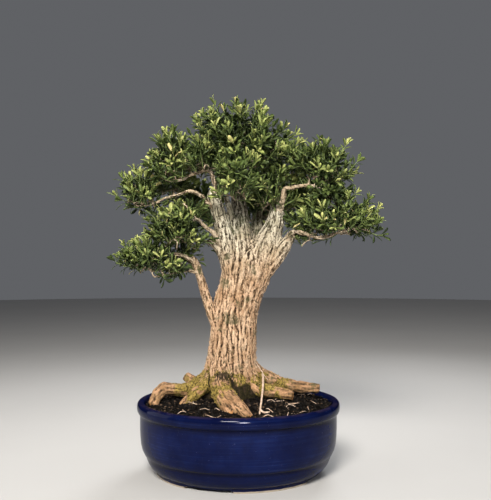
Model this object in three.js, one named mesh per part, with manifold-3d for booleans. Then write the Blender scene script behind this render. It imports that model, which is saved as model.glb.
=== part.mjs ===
// Chinese boxwood bonsai: an old corky trunk on spreading surface roots, thick sawn limbs, thin side branches
// with leafy sprays, standing in soil in a round glazed pot with a drainage hole and its screen.
// Millimetres, +Z up. Lengths along X and Y are counted from the pot's axis until the last lines,
// which move the whole tree so that its box stands centred over the origin, with the pot's feet at Z = 0.

import * as THREE from "three";
import { mergeVertices } from "three/addons/utils/BufferGeometryUtils.js";
import Module from "manifold-3d";

const wasm = await Module();
wasm.setup();

// Driving dimensions
const clearance = 0.3; // between pieces that touch on the real plant
const turns = 32; // faces round the pot and the soil

const potHeight = 93;
const rimRadius = 131; // the widest line of the rolled rim
const wallRadius = 127; // outside of the wall, under the rim
const innerRadius = 121; // inside of the mouth
const footRadius = 106;
const footWidth = 8;
const footHeight = 5;
const floorTop = 13;
const drainRadius = 14;
const footGapHeight = 3.8;
const footGapWidth = 58;
const footGapFirst = -110; // degrees from +X, the gap that shows in front

const screenSize = 40;
const screenThickness = 1.2;
const screenHoles = 3; // a side
const screenHoleSize = 8;

const soilAtRim = 88;
const soilAtTrunk = 101;
const soilRoughness = 1.1;

const leafLength = 14;
const leafHalfWidth = 2.8;
const leafThickness = 1.2; // at the rib
const leafPairSpacing = 4.8;
const leafPairs = 6; // on a spray
const shootRadius = 1.1;

// Closed solids from closed geometries, and back

function solid(geometry) {
  const bare = geometry.clone();
  bare.deleteAttribute("normal");
  bare.deleteAttribute("uv");
  const merged = mergeVertices(bare, 1e-3);
  const vertProperties = new Float32Array(merged.attributes.position.array);
  const triVerts = new Uint32Array(merged.index.array);
  const made = new wasm.Manifold(new wasm.Mesh({ numProp: 3, vertProperties, triVerts }));
  if (made.volume() > 0) return made;
  for (let i = 0; i < triVerts.length; i += 3) {
    [triVerts[i + 1], triVerts[i + 2]] = [triVerts[i + 2], triVerts[i + 1]];
  }
  return new wasm.Manifold(new wasm.Mesh({ numProp: 3, vertProperties, triVerts }));
}

function union(solids) {
  return wasm.Manifold.union(solids);
}

// The largest body of a solid, which drops the scraps that a cut leaves
function mainBody(whole) {
  return whole.decompose().reduce((a, b) => (b.volume() > a.volume() ? b : a));
}

function node(name, body, material) {
  const made = body.getMesh();
  const geometry = new THREE.BufferGeometry();
  geometry.setAttribute("position", new THREE.BufferAttribute(new Float32Array(made.vertProperties), 3));
  geometry.setIndex(new THREE.BufferAttribute(new Uint32Array(made.triVerts), 1));
  geometry.computeVertexNormals();
  const mesh = new THREE.Mesh(geometry, material);
  mesh.name = name;
  return mesh;
}

// Seeded chance, one stream for the whole plant

let seed = 20417;
function chance() {
  seed = (Math.imul(seed, 1664525) + 1013904223) >>> 0;
  return seed / 4294967296;
}

function between(low, high) {
  return low + (high - low) * chance();
}

const up = new THREE.Vector3(0, 0, 1);

function vector([x, y, z]) {
  return new THREE.Vector3(x, y, z);
}

// Wood. A limb is a row of stations [x, y, z, radius] that its round section follows.

function stationAt(stations, t) {
  const along = t * (stations.length - 1);
  const i = Math.min(Math.floor(along), stations.length - 2);
  return THREE.MathUtils.lerp(stations[i][3], stations[i + 1][3], along - i);
}

function lineOf(stations) {
  return new THREE.CatmullRomCurve3(stations.map(vector));
}

// A closed cylinder bent along the stations. The section is squeezed across Y by flat, and every second
// edge of it stands out by ridge, which makes the furrowed bark.
function limb(stations, sides, rings, { grow = 0, flat = 1, ridge = 0 } = {}) {
  const line = lineOf(stations);
  const geometry = new THREE.CylinderGeometry(1, 1, 1, sides, rings);
  const frames = [];
  let normal = new THREE.Vector3(1, 0, 0);
  if (Math.abs(line.getTangent(0).x) > 0.9) normal.set(0, 1, 0);
  for (let i = 0; i <= rings; i++) {
    const tangent = line.getTangent(i / rings);
    normal = normal.clone().addScaledVector(tangent, -normal.dot(tangent)).normalize();
    const centre = line.getPoint(i / rings);
    if (i === 0) centre.addScaledVector(tangent, -grow);
    if (i === rings) centre.addScaledVector(tangent, grow);
    frames.push({ centre, normal, across: normal.clone().cross(tangent) });
  }
  const place = geometry.attributes.position;
  for (let v = 0; v < place.count; v++) {
    const height = place.getY(v) + 0.5;
    const { centre, normal: ahead, across } = frames[Math.round(height * rings)];
    const angle = Math.atan2(place.getZ(v), place.getX(v));
    const edge = Math.round((0.25 - angle / (2 * Math.PI)) * sides + sides) % 2 ? -1 : 1;
    const wander = 0.75 + 0.5 * Math.sin(5 * angle + 19 * height) * Math.cos(3 * angle - 11 * height);
    const lobes = Math.sin(3 * angle + 6 * height);
    const reach = Math.hypot(place.getX(v), place.getZ(v));
    const radius = reach * (stationAt(stations, height) + ridge * (edge * wander + lobes) + grow);
    const twist = angle + (ridge ? 0.5 * height : 0);
    const p = centre
      .clone()
      .addScaledVector(ahead, radius * Math.cos(twist))
      .addScaledVector(across, radius * flat * Math.sin(twist));
    place.setXYZ(v, p.x, p.y, p.z);
  }
  return solid(geometry);
}

const trunk = [
  [-8, 4, 62, 36],
  [-8, 3, 84, 42],
  [-8.5, 2, 104, 42],
  [-9, 1, 122, 36],
  [-9, 0, 140, 32],
  [-8, 0, 160, 30],
  [-6.5, 0, 184, 29],
  [-4, 1, 209, 28.5],
  [3, 2, 235, 29],
  [11, 3, 258, 31],
  [14, 4, 272, 27],
  [15, 5, 284, 15],
];

const limbs = {
  left: [[-5, -3, 240, 12], [-17, -8, 300, 12], [-25, -10, 332, 9.5], [-33, -10, 359, 8]],
  middle: [
    [7, 0, 250, 15], [3, 2, 300, 13.5], [2, 4, 332, 10.5], [-1, 6, 357, 8.5], [-2, 8, 389, 6.2],
    [1, 6, 420, 4.4], [6, 4, 449, 2.8],
  ],
  stub_middle: [[-1, -4, 300, 7], [-9, -9, 332, 4.6], [-16, -10, 355, 3.2]],
  right: [[16, 0, 232, 13], [36, -2, 290, 16.5], [45, -4, 315, 12.5], [51, -4, 337, 10]],
  right_up: [[47, 2, 322, 9.5], [50, 8, 357, 6.5], [53, 8, 389, 4.4], [54, 4, 417, 2.8]],
  back: [[18, 12, 262, 13], [23, 22, 305, 9.5], [30, 32, 343, 7], [37, 42, 381, 4.6], [40, 46, 411, 3]],
  stub_right: [[24, -2, 246, 11], [50, -6, 281, 11], [62, -8, 296, 8], [69, -10, 306, 6]],
  stub_left: [[-10, -6, 262, 9], [-24, -12, 287, 5.5], [-33, -14, 294, 3.8], [-41, -14, 298, 2.4]],
  branch_low_left: [
    [-24, -4, 182, 9], [-35, -8, 208, 7], [-42, -10, 227, 5.8], [-48, -12, 248, 5.2], [-53, -14, 265, 4.8],
    [-58, -16, 276, 4.2],
  ],
};

const branches = {
  left_upper: [
    [-31, -12, 350, 5], [-30, -16, 371, 4], [-37, -22, 388, 3.2], [-49, -26, 386, 3], [-59, -30, 382, 2.6],
    [-71, -32, 376, 2.3], [-86, -30, 374, 1.9], [-102, -28, 380, 1.4],
  ],
  left_side: [
    [-31, -12, 340, 4.5], [-45, -20, 353, 3.4], [-54, -24, 360, 3], [-61, -26, 362, 2.8],
    [-74, -28, 358, 2.5], [-93, -28, 352, 2.1], [-110, -24, 345, 1.8], [-127, -20, 342, 1.4],
  ],
  left_thin: [
    [-16, -12, 283, 6], [-31, -22, 307, 3.6], [-43, -28, 317, 3], [-52, -32, 325, 2.6], [-65, -34, 321, 2.1],
    [-78, -34, 317, 1.8], [-94, -32, 321, 1.4],
  ],
  left_thin_up: [[-51, -31, 324, 2.2], [-61, -32, 335, 1.8], [-69, -30, 346, 1.4]],
  low_left_out: [
    [-54, -15, 268, 3.8], [-67, -22, 278, 3], [-80, -26, 281, 2.7], [-99, -28, 278, 2.4], [-116, -28, 275, 2],
    [-131, -26, 275, 1.7], [-145, -24, 282, 1.3],
  ],
  low_left_under: [[-50, -13, 258, 3.2], [-67, -24, 260, 2.3], [-86, -34, 256, 1.8], [-106, -38, 253, 1.3]],
  low_left_back: [[-52, -12, 262, 3.4], [-66, 8, 272, 2.6], [-82, 26, 279, 2], [-100, 36, 284, 1.4]],
  right_upper: [
    [52, -6, 332, 7], [57, -12, 351, 4.8], [60, -16, 365, 4.2], [68, -20, 366, 3.7], [82, -24, 369, 3.3],
    [97, -26, 368, 2.7], [113, -24, 364, 2.2], [127, -20, 371, 1.6],
  ],
  right_low: [
    [60, -8, 290, 5.5], [69, -18, 309, 4], [82, -24, 308, 3.6], [94, -26, 304, 3.3], [105, -28, 302, 3.1],
    [120, -28, 306, 2.7], [137, -26, 312, 2.3], [154, -22, 315, 1.9], [167, -20, 311, 1.4],
  ],
  right_low_back: [[64, -8, 298, 4.2], [80, 8, 314, 3.2], [102, 22, 324, 2.3], [126, 30, 328, 1.5]],
  front_middle: [
    [-1, 6, 362, 5.5], [5, -16, 376, 3.8], [3, -38, 384, 2.8], [-6, -56, 384, 2], [-13, -68, 388, 1.4],
  ],
  back_left: [
    [20, 16, 288, 6.5], [-2, 40, 312, 4.6], [-25, 62, 330, 3.4], [-50, 80, 340, 2.4], [-72, 90, 345, 1.6],
  ],
  back_right: [
    [27, 28, 328, 6], [48, 46, 338, 4.2], [72, 64, 346, 3.1], [96, 78, 350, 2.1], [112, 84, 353, 1.5],
  ],
  back_low: [
    [8, 16, 246, 7], [2, 46, 268, 4.8], [-6, 76, 282, 3.4], [-10, 100, 290, 2.3], [-8, 114, 294, 1.5],
  ],
};

const roots = {
  right: [
    [2, 0, 138, 17], [28, 5, 121, 12.5], [55, 9, 112.5, 9.5], [80, 10, 108.5, 8], [106, 10, 105.5, 6.7],
  ],
  right_front: [[2, -8, 120, 14], [28, -19, 109, 9.5], [50, -26, 106, 7], [69, -31, 103.5, 5.8]],
  front: [
    [-22, -14, 134, 15], [-22, -40, 114, 12.5], [-12, -62, 104, 11.5], [0, -80, 96, 10], [13, -101, 86, 7],
  ],
  front_stub: [[-22, -46, 109, 11], [-16, -68, 99, 9], [-8, -87, 89, 7.5]],
  left: [
    [-22, 0, 132, 16], [-48, -4, 114, 11], [-72, -8, 106, 8.5], [-98, -12, 107, 8], [-109, -22, 89, 6.5],
  ],
  left_front: [[-26, -12, 126, 13], [-42, -27, 112, 8.5], [-54, -38, 101, 6.5], [-64, -46, 90, 4.5]],
  left_back: [[-22, 14, 124, 13], [-45, 34, 110, 8.5], [-60, 44, 108, 6.8], [-72, 50, 116, 5.6]],
  back: [[-6, 20, 122, 13], [0, 50, 107, 9], [8, 78, 97, 6.5], [14, 98, 86, 4]],
  back_right: [[10, 12, 122, 13], [36, 36, 108, 9], [60, 54, 100, 7], [82, 68, 97, 5.8]],
};

// A thin bare rootlet that hangs from the root flare into the soil in front
const rootlet = [
  [22, -10, 121, 1.4], [31, -36, 121, 1.5], [30, -62, 107, 1.3], [26, -90, 93, 1.2], [24, -100, 84, 1.1],
];

// Foliage. A pad is a mass of leaves round its centre that reaches out to its leaf tips. The wood it names
// and twigs of its own carry it.

const pads = [
  {
    centre: [6, 4, 426],
    reach: [68, 60, 55],
    twigs: 5,
    sprays: 10,
    on: [limbs.middle, limbs.right_up, limbs.back],
  },
  {
    centre: [-45, -24, 404],
    reach: [34, 34, 31],
    twigs: 2,
    sprays: 3,
    on: [branches.left_upper, limbs.middle],
  },
  { centre: [-81, -20, 405], reach: [33, 38, 35], twigs: 2, sprays: 3, on: [branches.left_upper] },
  { centre: [-124, -18, 363], reach: [33, 34, 29], twigs: 1, sprays: 3, on: [branches.left_side] },
  {
    centre: [-73, -30, 314],
    reach: [42, 38, 33],
    twigs: 0,
    sprays: 4,
    on: [branches.left_thin, branches.left_thin_up],
  },
  {
    centre: [-101, -16, 272],
    reach: [59, 44, 28],
    twigs: 0,
    sprays: 5,
    on: [branches.low_left_out, branches.low_left_under, branches.low_left_back],
  },
  { centre: [-8, -46, 376], reach: [36, 34, 36], twigs: 2, sprays: 3, on: [branches.front_middle] },
  { centre: [42, 2, 365], reach: [34, 42, 38], twigs: 2, sprays: 3, on: [limbs.right_up, limbs.back] },
  { centre: [80, -2, 404], reach: [28, 32, 28], twigs: 0, sprays: 1, on: [branches.right_upper] },
  { centre: [110, -16, 394], reach: [42, 40, 34], twigs: 2, sprays: 3, on: [branches.right_upper] },
  {
    centre: [110, -4, 360],
    reach: [42, 30, 20],
    twigs: 0,
    sprays: 1,
    on: [branches.right_upper, branches.right_low_back],
  },
  {
    centre: [122, -14, 327],
    reach: [63, 46, 30],
    twigs: 1,
    sprays: 4,
    on: [branches.right_low, branches.right_low_back],
  },
  { centre: [-58, 78, 356], reach: [44, 38, 34], twigs: 1, sprays: 3, on: [branches.back_left] },
  { centre: [88, 74, 362], reach: [46, 38, 34], twigs: 1, sprays: 2, on: [branches.back_right] },
  { centre: [-8, 86, 304], reach: [42, 30, 28], twigs: 0, sprays: 2, on: [branches.back_low] },
];
const lowestDirection = -0.45; // a pad has no sprays below this
const goldenAngle = Math.PI * (3 - Math.sqrt(5));

// Directions spread evenly from the top down to the lowest
function spread(i, count, lowest, phase) {
  const z = 1 - ((i + 0.5) / count) * (1 - lowest);
  const turn = i * goldenAngle + phase;
  const level = Math.sqrt(1 - z * z);
  return new THREE.Vector3(level * Math.cos(turn), level * Math.sin(turn), z);
}

// Points on the wood, the nearest to a place first
const samplesOnLine = 12;
function nearestOn(lines, place) {
  const found = [];
  for (const stations of lines) {
    const line = lineOf(stations);
    for (let i = 2; i <= samplesOnLine; i++) {
      const t = i / samplesOnLine;
      const point = line.getPoint(t);
      found.push({ away: point.distanceTo(place), point, radius: stationAt(stations, t) });
    }
  }
  return found.sort((a, b) => a.away - b.away);
}

function padPoint(pad, direction, share) {
  return vector(pad.centre).add(direction.clone().multiply(vector(pad.reach)).multiplyScalar(share));
}

for (const [p, pad] of pads.entries()) {
  pad.ownTwigs = [];
  for (let i = 0; i < pad.twigs; i++) {
    const end = padPoint(pad, spread(i, pad.twigs, -0.2, 1.3 + p), 0.5);
    const [start] = nearestOn(pad.on, end);
    const middle = start.point.clone().lerp(end, 0.5);
    middle.z += 0.12 * start.away;
    const thick = Math.min(0.75 * start.radius, 2.2);
    pad.ownTwigs.push([[...start.point, thick], [...middle, 0.85 * thick], [...end, 1.3]]);
  }
}

function wood(grow) {
  const pieces = [limb(trunk, 28, 12, { grow, flat: 0.84, ridge: 1.4 })];
  for (const stations of Object.values(limbs)) {
    pieces.push(limb(stations, 8, stations.length + 1, { grow, ridge: 0.5 }));
  }
  for (const stations of Object.values(roots)) {
    pieces.push(limb(stations, 7, 4, { grow }));
  }
  for (const stations of Object.values(branches)) {
    pieces.push(limb(stations, 5, stations.length - 1, { grow }));
  }
  for (const stations of pads.flatMap((pad) => pad.ownTwigs)) {
    pieces.push(limb(stations, 4, 2, { grow }));
  }
  pieces.push(limb(rootlet, 4, 4, { grow }));
  return mainBody(union(pieces));
}

const tree = wood(0);
const treeGrown = wood(clearance);

// A spray is a square shoot whose leaves grow straight out of its sides in crossed pairs. Its skin is made
// corner by corner.

class Skin {
  spots = [];
  faces = [];

  corner(place) {
    this.spots.push(...place);
    return this.spots.length / 3 - 1;
  }

  // A triangle, or a quadrilateral split from its first corner
  face(a, b, c, d) {
    this.faces.push(a, b, c);
    if (d !== undefined) this.faces.push(a, c, d);
  }

  close() {
    const geometry = new THREE.BufferGeometry();
    geometry.setAttribute("position", new THREE.Float32BufferAttribute(this.spots, 3));
    geometry.setIndex(this.faces);
    return solid(geometry);
  }
}

// A leaf is a thin spoon with a flat back and a rib on its upper face, a wedge base and a blunt tip
const widestAt = 0.62;
const tipWidth = 0.55;
const tipDroop = 0.09;

function growLeaf(skin, base, { origin, along, face, length, halfWidth }, grow) {
  const [lowRight, lowLeft, highLeft, highRight] = base;
  const across = new THREE.Vector3().crossVectors(face, along);
  function at(ahead, aside, above) {
    const place = origin.clone().addScaledVector(along, ahead);
    return skin.corner(place.addScaledVector(across, aside).addScaledVector(face, above));
  }
  const left = at(widestAt * length, halfWidth + grow, -grow);
  const right = at(widestAt * length, -halfWidth - grow, -grow);
  const rib = at(widestAt * length, 0, leafThickness + grow);
  const tipLeft = at(length + grow, tipWidth * halfWidth + grow, -tipDroop * length - grow);
  const tipRight = at(length + grow, -tipWidth * halfWidth - grow, -tipDroop * length - grow);
  skin.face(lowRight, lowLeft, left, right);
  skin.face(lowLeft, highLeft, rib, left);
  skin.face(highLeft, highRight, rib);
  skin.face(highRight, lowRight, right, rib);
  skin.face(right, left, tipLeft, tipRight);
  skin.face(left, rib, tipLeft);
  skin.face(rib, tipRight, tipLeft);
  skin.face(rib, right, tipRight);
}

function skinSpray(stem, leaves, grow) {
  const skin = new Skin();
  const rings = stem.map(({ point, north, east, radius }) =>
    [0, 1, 2, 3].map((side) => {
      const turn = ((side - 0.5) * Math.PI) / 2;
      const reach = (radius + grow) * Math.SQRT2;
      const place = point.clone().addScaledVector(north, reach * Math.cos(turn));
      return skin.corner(place.addScaledVector(east, reach * Math.sin(turn)));
    }),
  );
  const [first, last] = [rings[0], rings.at(-1)];
  skin.face(...first.toReversed());
  skin.face(...last);
  for (let i = 0; i + 1 < rings.length; i++) {
    for (let side = 0; side < 4; side++) {
      const next = (side + 1) % 4;
      const panel = [rings[i][side], rings[i][next], rings[i + 1][next], rings[i + 1][side]];
      const blade = leaves.find((one) => one.ring === i && one.side === side);
      if (blade) growLeaf(skin, panel, blade, grow);
      else skin.face(...panel);
    }
  }
  return skin.close();
}

// The rings of a shoot that bends from its foot in the wood to its tip: its foot, one where its leaves begin
// and one above each pair of them
function stemRings(foot, tip, heading) {
  const bend = tip.clone().addScaledVector(heading, -0.45 * foot.distanceTo(tip));
  const line = new THREE.QuadraticBezierCurve3(foot, bend, tip);
  const total = line.getLength();
  const leafy = Math.min(leafPairs * leafPairSpacing, 0.75 * total) / total;
  const rings = [];
  const north = new THREE.Vector3().crossVectors(up, heading).normalize();
  north.applyAxisAngle(heading, between(0, Math.PI / 2));
  for (let i = -1; i <= leafPairs; i++) {
    const u = i < 0 ? 0 : 1 - leafy + (leafy * i) / leafPairs;
    const tangent = line.getTangentAt(u);
    north.addScaledVector(tangent, -north.dot(tangent)).normalize();
    const radius = shootRadius * (1 - 0.3 * u);
    const east = tangent.clone().cross(north);
    rings.push({ point: line.getPointAt(u), tangent, north: north.clone(), east, radius });
  }
  return rings;
}

// Pairs cross each other, wide open low down and closer at the tip
function leavesOf(stem) {
  const leaves = [];
  for (let pair = 0; pair < leafPairs; pair++) {
    const ring = pair + 1;
    const { point, tangent, north, east, radius } = stem[ring];
    const middle = point.clone().lerp(stem[ring + 1].point, 0.5);
    for (const side of [pair % 2, (pair % 2) + 2]) {
      const turn = (side * Math.PI) / 2 + between(-0.2, 0.2);
      const out = north.clone().multiplyScalar(Math.cos(turn)).addScaledVector(east, Math.sin(turn));
      const lean = 1.15 - 0.17 * pair + between(-0.1, 0.1);
      const along = tangent.clone().multiplyScalar(Math.cos(lean)).addScaledVector(out, Math.sin(lean));
      const face = tangent.clone().multiplyScalar(Math.sin(lean)).addScaledVector(out, -Math.cos(lean));
      const origin = middle.clone().addScaledVector(out, 0.7 * radius);
      const size = between(0.88, 1.1) * (pair === 0 ? 0.85 : 1);
      const length = leafLength * size;
      const halfWidth = leafHalfWidth * size;
      leaves.push({ ring, side, origin, along, face, length, halfWidth });
    }
  }
  return leaves;
}

function boxesMeet(a, b) {
  return [0, 1, 2].every((i) => a.min[i] <= b.max[i] && b.min[i] <= a.max[i]);
}

const sprays = [];
function isFree(test) {
  const box = test.boundingBox();
  return sprays.every((other) => !boxesMeet(box, other.boundingBox()) || test.intersect(other).isEmpty());
}

// A spray is bent aside until its bare shoot is clear, and then keeps the leaves that are clear too
const bendTries = 18;
const fewestLeaves = 7;
const tipInset = 5; // from a pad's edge to the end of a shoot

function addSpray(pad, outward) {
  let best = null;
  for (let attempt = 0; attempt < bendTries; attempt++) {
    const stray = 0.03 * attempt;
    const aside = new THREE.Vector3(between(-stray, stray), between(-stray, stray), between(-stray, stray));
    const way = outward.clone().add(aside).normalize();
    const tip = padPoint(pad, way, 1).addScaledVector(way, -tipInset - between(0, attempt));
    const wanted = tip.clone().addScaledVector(way, -34);
    const foot = nearestOn([...pad.on, ...pad.ownTwigs], wanted)[Math.floor(0.5 * attempt)].point;
    const heading = way.clone().addScaledVector(up, 0.45).normalize();
    const stem = stemRings(foot, tip, heading);
    const leafy = skinSpray(stem.slice(1), [], clearance);
    if (!isFree(skinSpray(stem, [], clearance)) || !leafy.intersect(treeGrown).isEmpty()) continue;
    const leaves = leavesOf(stem).filter((blade) => {
      const test = skinSpray(stem.slice(blade.ring, blade.ring + 2), [{ ...blade, ring: 0 }], clearance);
      return isFree(test) && test.intersect(treeGrown).isEmpty();
    });
    if (!best || leaves.length > best.leaves.length) best = { stem, leaves };
    if (leaves.length === 2 * leafPairs) break;
  }
  if (best && best.leaves.length >= fewestLeaves) {
    sprays.push(mainBody(skinSpray(best.stem, best.leaves, 0).subtract(treeGrown)));
  }
}

for (const [p, pad] of pads.entries()) {
  for (let i = 0; i < pad.sprays; i++) {
    addSpray(pad, spread(i, pad.sprays, lowestDirection, 0.4 + 2 * p));
  }
}

// Pot

// The inside of the pot from its floor to its mouth, moved inwards by inset
function insideProfile(path, inset) {
  path.lineTo(100 - inset, floorTop + inset);
  path.quadraticCurveTo(114 - inset, floorTop + 1 + inset, 118 - inset, 38);
  path.lineTo(innerRadius - inset, potHeight - 6);
}

const potProfile = new THREE.Path();
potProfile.moveTo(drainRadius, floorTop);
insideProfile(potProfile, 0);
potProfile.quadraticCurveTo(innerRadius + 0.5, potHeight, 126, potHeight);
potProfile.quadraticCurveTo(rimRadius + 0.8, potHeight - 0.5, rimRadius, potHeight - 8);
potProfile.quadraticCurveTo(rimRadius - 0.8, potHeight - 14.5, wallRadius + 0.6, potHeight - 15.5);
potProfile.lineTo(wallRadius, 58);
potProfile.quadraticCurveTo(wallRadius - 0.5, 37, 121, 26.5);
potProfile.lineTo(119.4, 25);
potProfile.quadraticCurveTo(115, 9, footRadius, footHeight);
potProfile.lineTo(footRadius, 0);
potProfile.lineTo(footRadius - footWidth, 0);
potProfile.lineTo(footRadius - footWidth - 1, footHeight);
potProfile.lineTo(drainRadius, footHeight);
potProfile.lineTo(drainRadius, floorTop);

function turned(profile) {
  return solid(new THREE.LatheGeometry(profile.getPoints(2), turns).rotateX(Math.PI / 2));
}

function block(width, depth, height) {
  return solid(new THREE.BoxGeometry(width, depth, height));
}

const footGap = block(24, footGapWidth, 2 * footGapHeight).translate([footRadius - footWidth / 2, 0, 0]);
const pot = [0, 90, 180, 270].reduce(
  (body, quarter) => body.subtract(footGap.rotate([0, 0, footGapFirst + quarter])),
  turned(potProfile),
);

// Drainage screen, a square of plastic mesh over the hole

const screenBottom = floorTop + clearance;
const screenPitch = (screenSize - 4) / screenHoles;
const screenOpenings = [];
for (let i = 0; i < screenHoles; i++) {
  for (let j = 0; j < screenHoles; j++) {
    const x = (i - (screenHoles - 1) / 2) * screenPitch;
    const y = (j - (screenHoles - 1) / 2) * screenPitch;
    screenOpenings.push(block(screenHoleSize, screenHoleSize, 2 * screenThickness).translate([x, y, 0]));
  }
}
const screen = block(screenSize, screenSize, screenThickness)
  .subtract(union(screenOpenings))
  .translate([0, 0, screenBottom + screenThickness / 2]);

// Soil, which fills the pot, rises towards the trunk and has a plain hole for everything that stands in it

const soilProfile = new THREE.Path();
soilProfile.moveTo(0, floorTop + clearance);
insideProfile(soilProfile, clearance);
soilProfile.lineTo(innerRadius - 0.5, soilAtRim);
soilProfile.lineTo(100, soilAtRim + 2.5);
soilProfile.lineTo(80, soilAtRim + 5.5);
soilProfile.lineTo(60, soilAtRim + 8);
soilProfile.lineTo(0, soilAtTrunk);

function roughened(geometry) {
  const place = geometry.attributes.position;
  for (let v = 0; v < place.count; v++) {
    const [x, y, z] = [place.getX(v), place.getY(v), place.getZ(v)];
    const inside = Math.hypot(x, y) < innerRadius - 6 && z > soilAtRim;
    const bump = Math.sin(0.17 * x + 1) * Math.cos(0.21 * y) + 0.6 * Math.sin(0.5 * x - 0.43 * y);
    if (inside) place.setZ(v, z + soilRoughness * bump);
  }
  return geometry;
}

const screenPocket = block(screenSize + 1, screenSize + 1, screenThickness + clearance + 1)
  .translate([0, 0, screenBottom + (screenThickness + clearance - 1) / 2]);
const soilTurned = new THREE.LatheGeometry(soilProfile.getPoints(2), turns).rotateX(Math.PI / 2);
const soil = mainBody(solid(roughened(soilTurned)).subtract(screenPocket).subtract(treeGrown));

// The whole plant

const glaze = new THREE.MeshStandardMaterial({ color: 0x141d66, roughness: 0.15 });
const darkPlastic = new THREE.MeshStandardMaterial({ color: 0x1c1c1c, roughness: 0.6 });
const earth = new THREE.MeshStandardMaterial({ color: 0x2b211b, roughness: 0.95 });
const bark = new THREE.MeshStandardMaterial({ color: 0xb79a78, roughness: 0.9 });
const green = new THREE.MeshStandardMaterial({ color: 0x4f7a2c, roughness: 0.45 });

const plant = new THREE.Group();
plant.add(node("pot", pot, glaze));
plant.add(node("drain_screen", screen, darkPlastic));
plant.add(node("soil", soil, earth));
plant.add(node("trunk_and_branches", tree, bark));
for (const [i, spray] of sprays.entries()) {
  plant.add(node(`leafy_spray_${String(i + 1).padStart(2, "0")}`, spray, green));
}

const box = new THREE.Box3().setFromObject(plant);
const middle = box.getCenter(new THREE.Vector3());
plant.position.set(-middle.x, -middle.y, 0);

const bonsai = new THREE.Group();
bonsai.add(plant);
export default bonsai;
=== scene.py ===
# Boxwood bonsai in a round glazed pot. Everything is in metres and +Z is up. Lists of stations are in
# millimetres from the pot's axis, in the same numbers as the solids.
import math

import bpy
import numpy as np
from mathutils import Matrix, Vector, noise


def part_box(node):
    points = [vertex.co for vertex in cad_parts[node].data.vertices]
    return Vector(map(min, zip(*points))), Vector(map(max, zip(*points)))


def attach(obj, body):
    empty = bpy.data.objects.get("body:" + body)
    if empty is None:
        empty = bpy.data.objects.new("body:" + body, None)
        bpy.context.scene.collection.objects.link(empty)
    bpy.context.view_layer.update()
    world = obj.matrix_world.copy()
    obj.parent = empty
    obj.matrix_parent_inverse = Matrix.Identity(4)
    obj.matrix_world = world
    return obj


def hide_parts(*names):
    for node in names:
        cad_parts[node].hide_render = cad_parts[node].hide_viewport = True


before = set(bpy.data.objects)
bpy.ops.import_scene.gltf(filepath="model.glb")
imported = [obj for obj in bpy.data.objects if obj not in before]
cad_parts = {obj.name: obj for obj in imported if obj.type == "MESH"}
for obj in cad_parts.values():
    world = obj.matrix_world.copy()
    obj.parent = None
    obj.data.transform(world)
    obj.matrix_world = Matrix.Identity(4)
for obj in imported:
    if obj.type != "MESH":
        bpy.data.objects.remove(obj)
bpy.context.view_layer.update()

# The pot's axis is where the whole plant is measured from.
MM = 0.001
pot_low, pot_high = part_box("pot")
AXIS = np.array([(pot_low[0] + pot_high[0]) / 2, (pot_low[1] + pot_high[1]) / 2, 0]) / MM


def placed(points):
    """Millimetres from the pot's axis to metres in the frame."""
    return (np.asarray(points, float) + AXIS) * MM


# Camera. It stands level at the height of the crown's foot, a little over a metre in front of the pot.
EYE = (9.1, -1100, 286.7)
camera = bpy.data.objects.new("camera", bpy.data.cameras.new("camera"))
bpy.context.collection.objects.link(camera)
bpy.context.scene.camera = camera
camera.data.lens = 60.9
camera.data.sensor_width = 36
camera.data.clip_start = 0.05
camera.location = placed(EYE)
camera.rotation_euler = (math.radians(90), 0, 0)


# Floor and light. A plain pale floor, a large soft lamp above the camera, weaker ones at the back, at both
# sides and over the crown, and a pale sky that fills the shadows. The glaze mirrors only the lamps in front
# and at the left, and one of those in front is there for that alone.
class Shade:
    """A socket of a material's nodes, which adds, multiplies and compares as a number does."""

    def __init__(self, tree, socket=None):
        self.tree = tree
        self.socket = socket

    def node(self, kind, settings=None, sockets=None, output=0):
        made = self.tree.nodes.new("ShaderNode" + kind)
        for name, value in (settings or {}).items():
            if name == "stops":
                steps = made.color_ramp.elements
                while len(steps) < len(value):
                    steps.new(0.5)
                for step, (place, colour) in zip(steps, value):
                    step.position = place
                    step.color = (*colour, 1)
            else:
                setattr(made, name, value)
        for name, value in (sockets or {}).items():
            if isinstance(value, Shade):
                self.tree.links.new(value.socket, made.inputs[name])
            else:
                made.inputs[name].default_value = value
        return Shade(self.tree, made.outputs[output] if made.outputs else None)

    def math(self, operation, a, b=0.0, c=0.0):
        return self.node("Math", {"operation": operation}, {0: a, 1: b, 2: c})

    def __add__(self, other):
        return self.math("ADD", self, other)

    def __sub__(self, other):
        return self.math("SUBTRACT", self, other)

    def __mul__(self, other):
        return self.math("MULTIPLY", self, other)

    def __rsub__(self, other):
        return self.math("SUBTRACT", other, self)

    __radd__ = __add__
    __rmul__ = __mul__

    def between(self, low, high):
        """0 below low, 1 above high and a soft step in between."""
        return self.node(
            "MapRange",
            {"interpolation_type": "SMOOTHSTEP"},
            {"Value": self, "From Min": low, "From Max": high},
        )

    def mix(self, factor, first, second, how="MIX"):
        colours = [(*c, 1) if isinstance(c, tuple) else c for c in (first, second)]
        return self.node(
            "Mix",
            {"data_type": "RGBA", "blend_type": how},
            {0: factor, 6: colours[0], 7: colours[1]},
            2,
        )

    def place(self):
        return self.node("TexCoord", output="Object")

    def named(self, attribute):
        return self.node("Attribute", {"attribute_name": attribute}, output="Fac")

    def noise(self, scale, detail=2.0, rough=0.5, stretch=(1, 1, 1), where=None):
        place = self.node("Mapping", {}, {"Vector": where or self.place(), "Scale": stretch})
        return self.node(
            "TexNoise", {}, {"Vector": place, "Scale": scale, "Detail": detail, "Roughness": rough}
        )

    def bump(self, height, depth, strength=1.0):
        return self.node("Bump", {}, {"Height": height, "Distance": depth, "Strength": strength})


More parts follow.
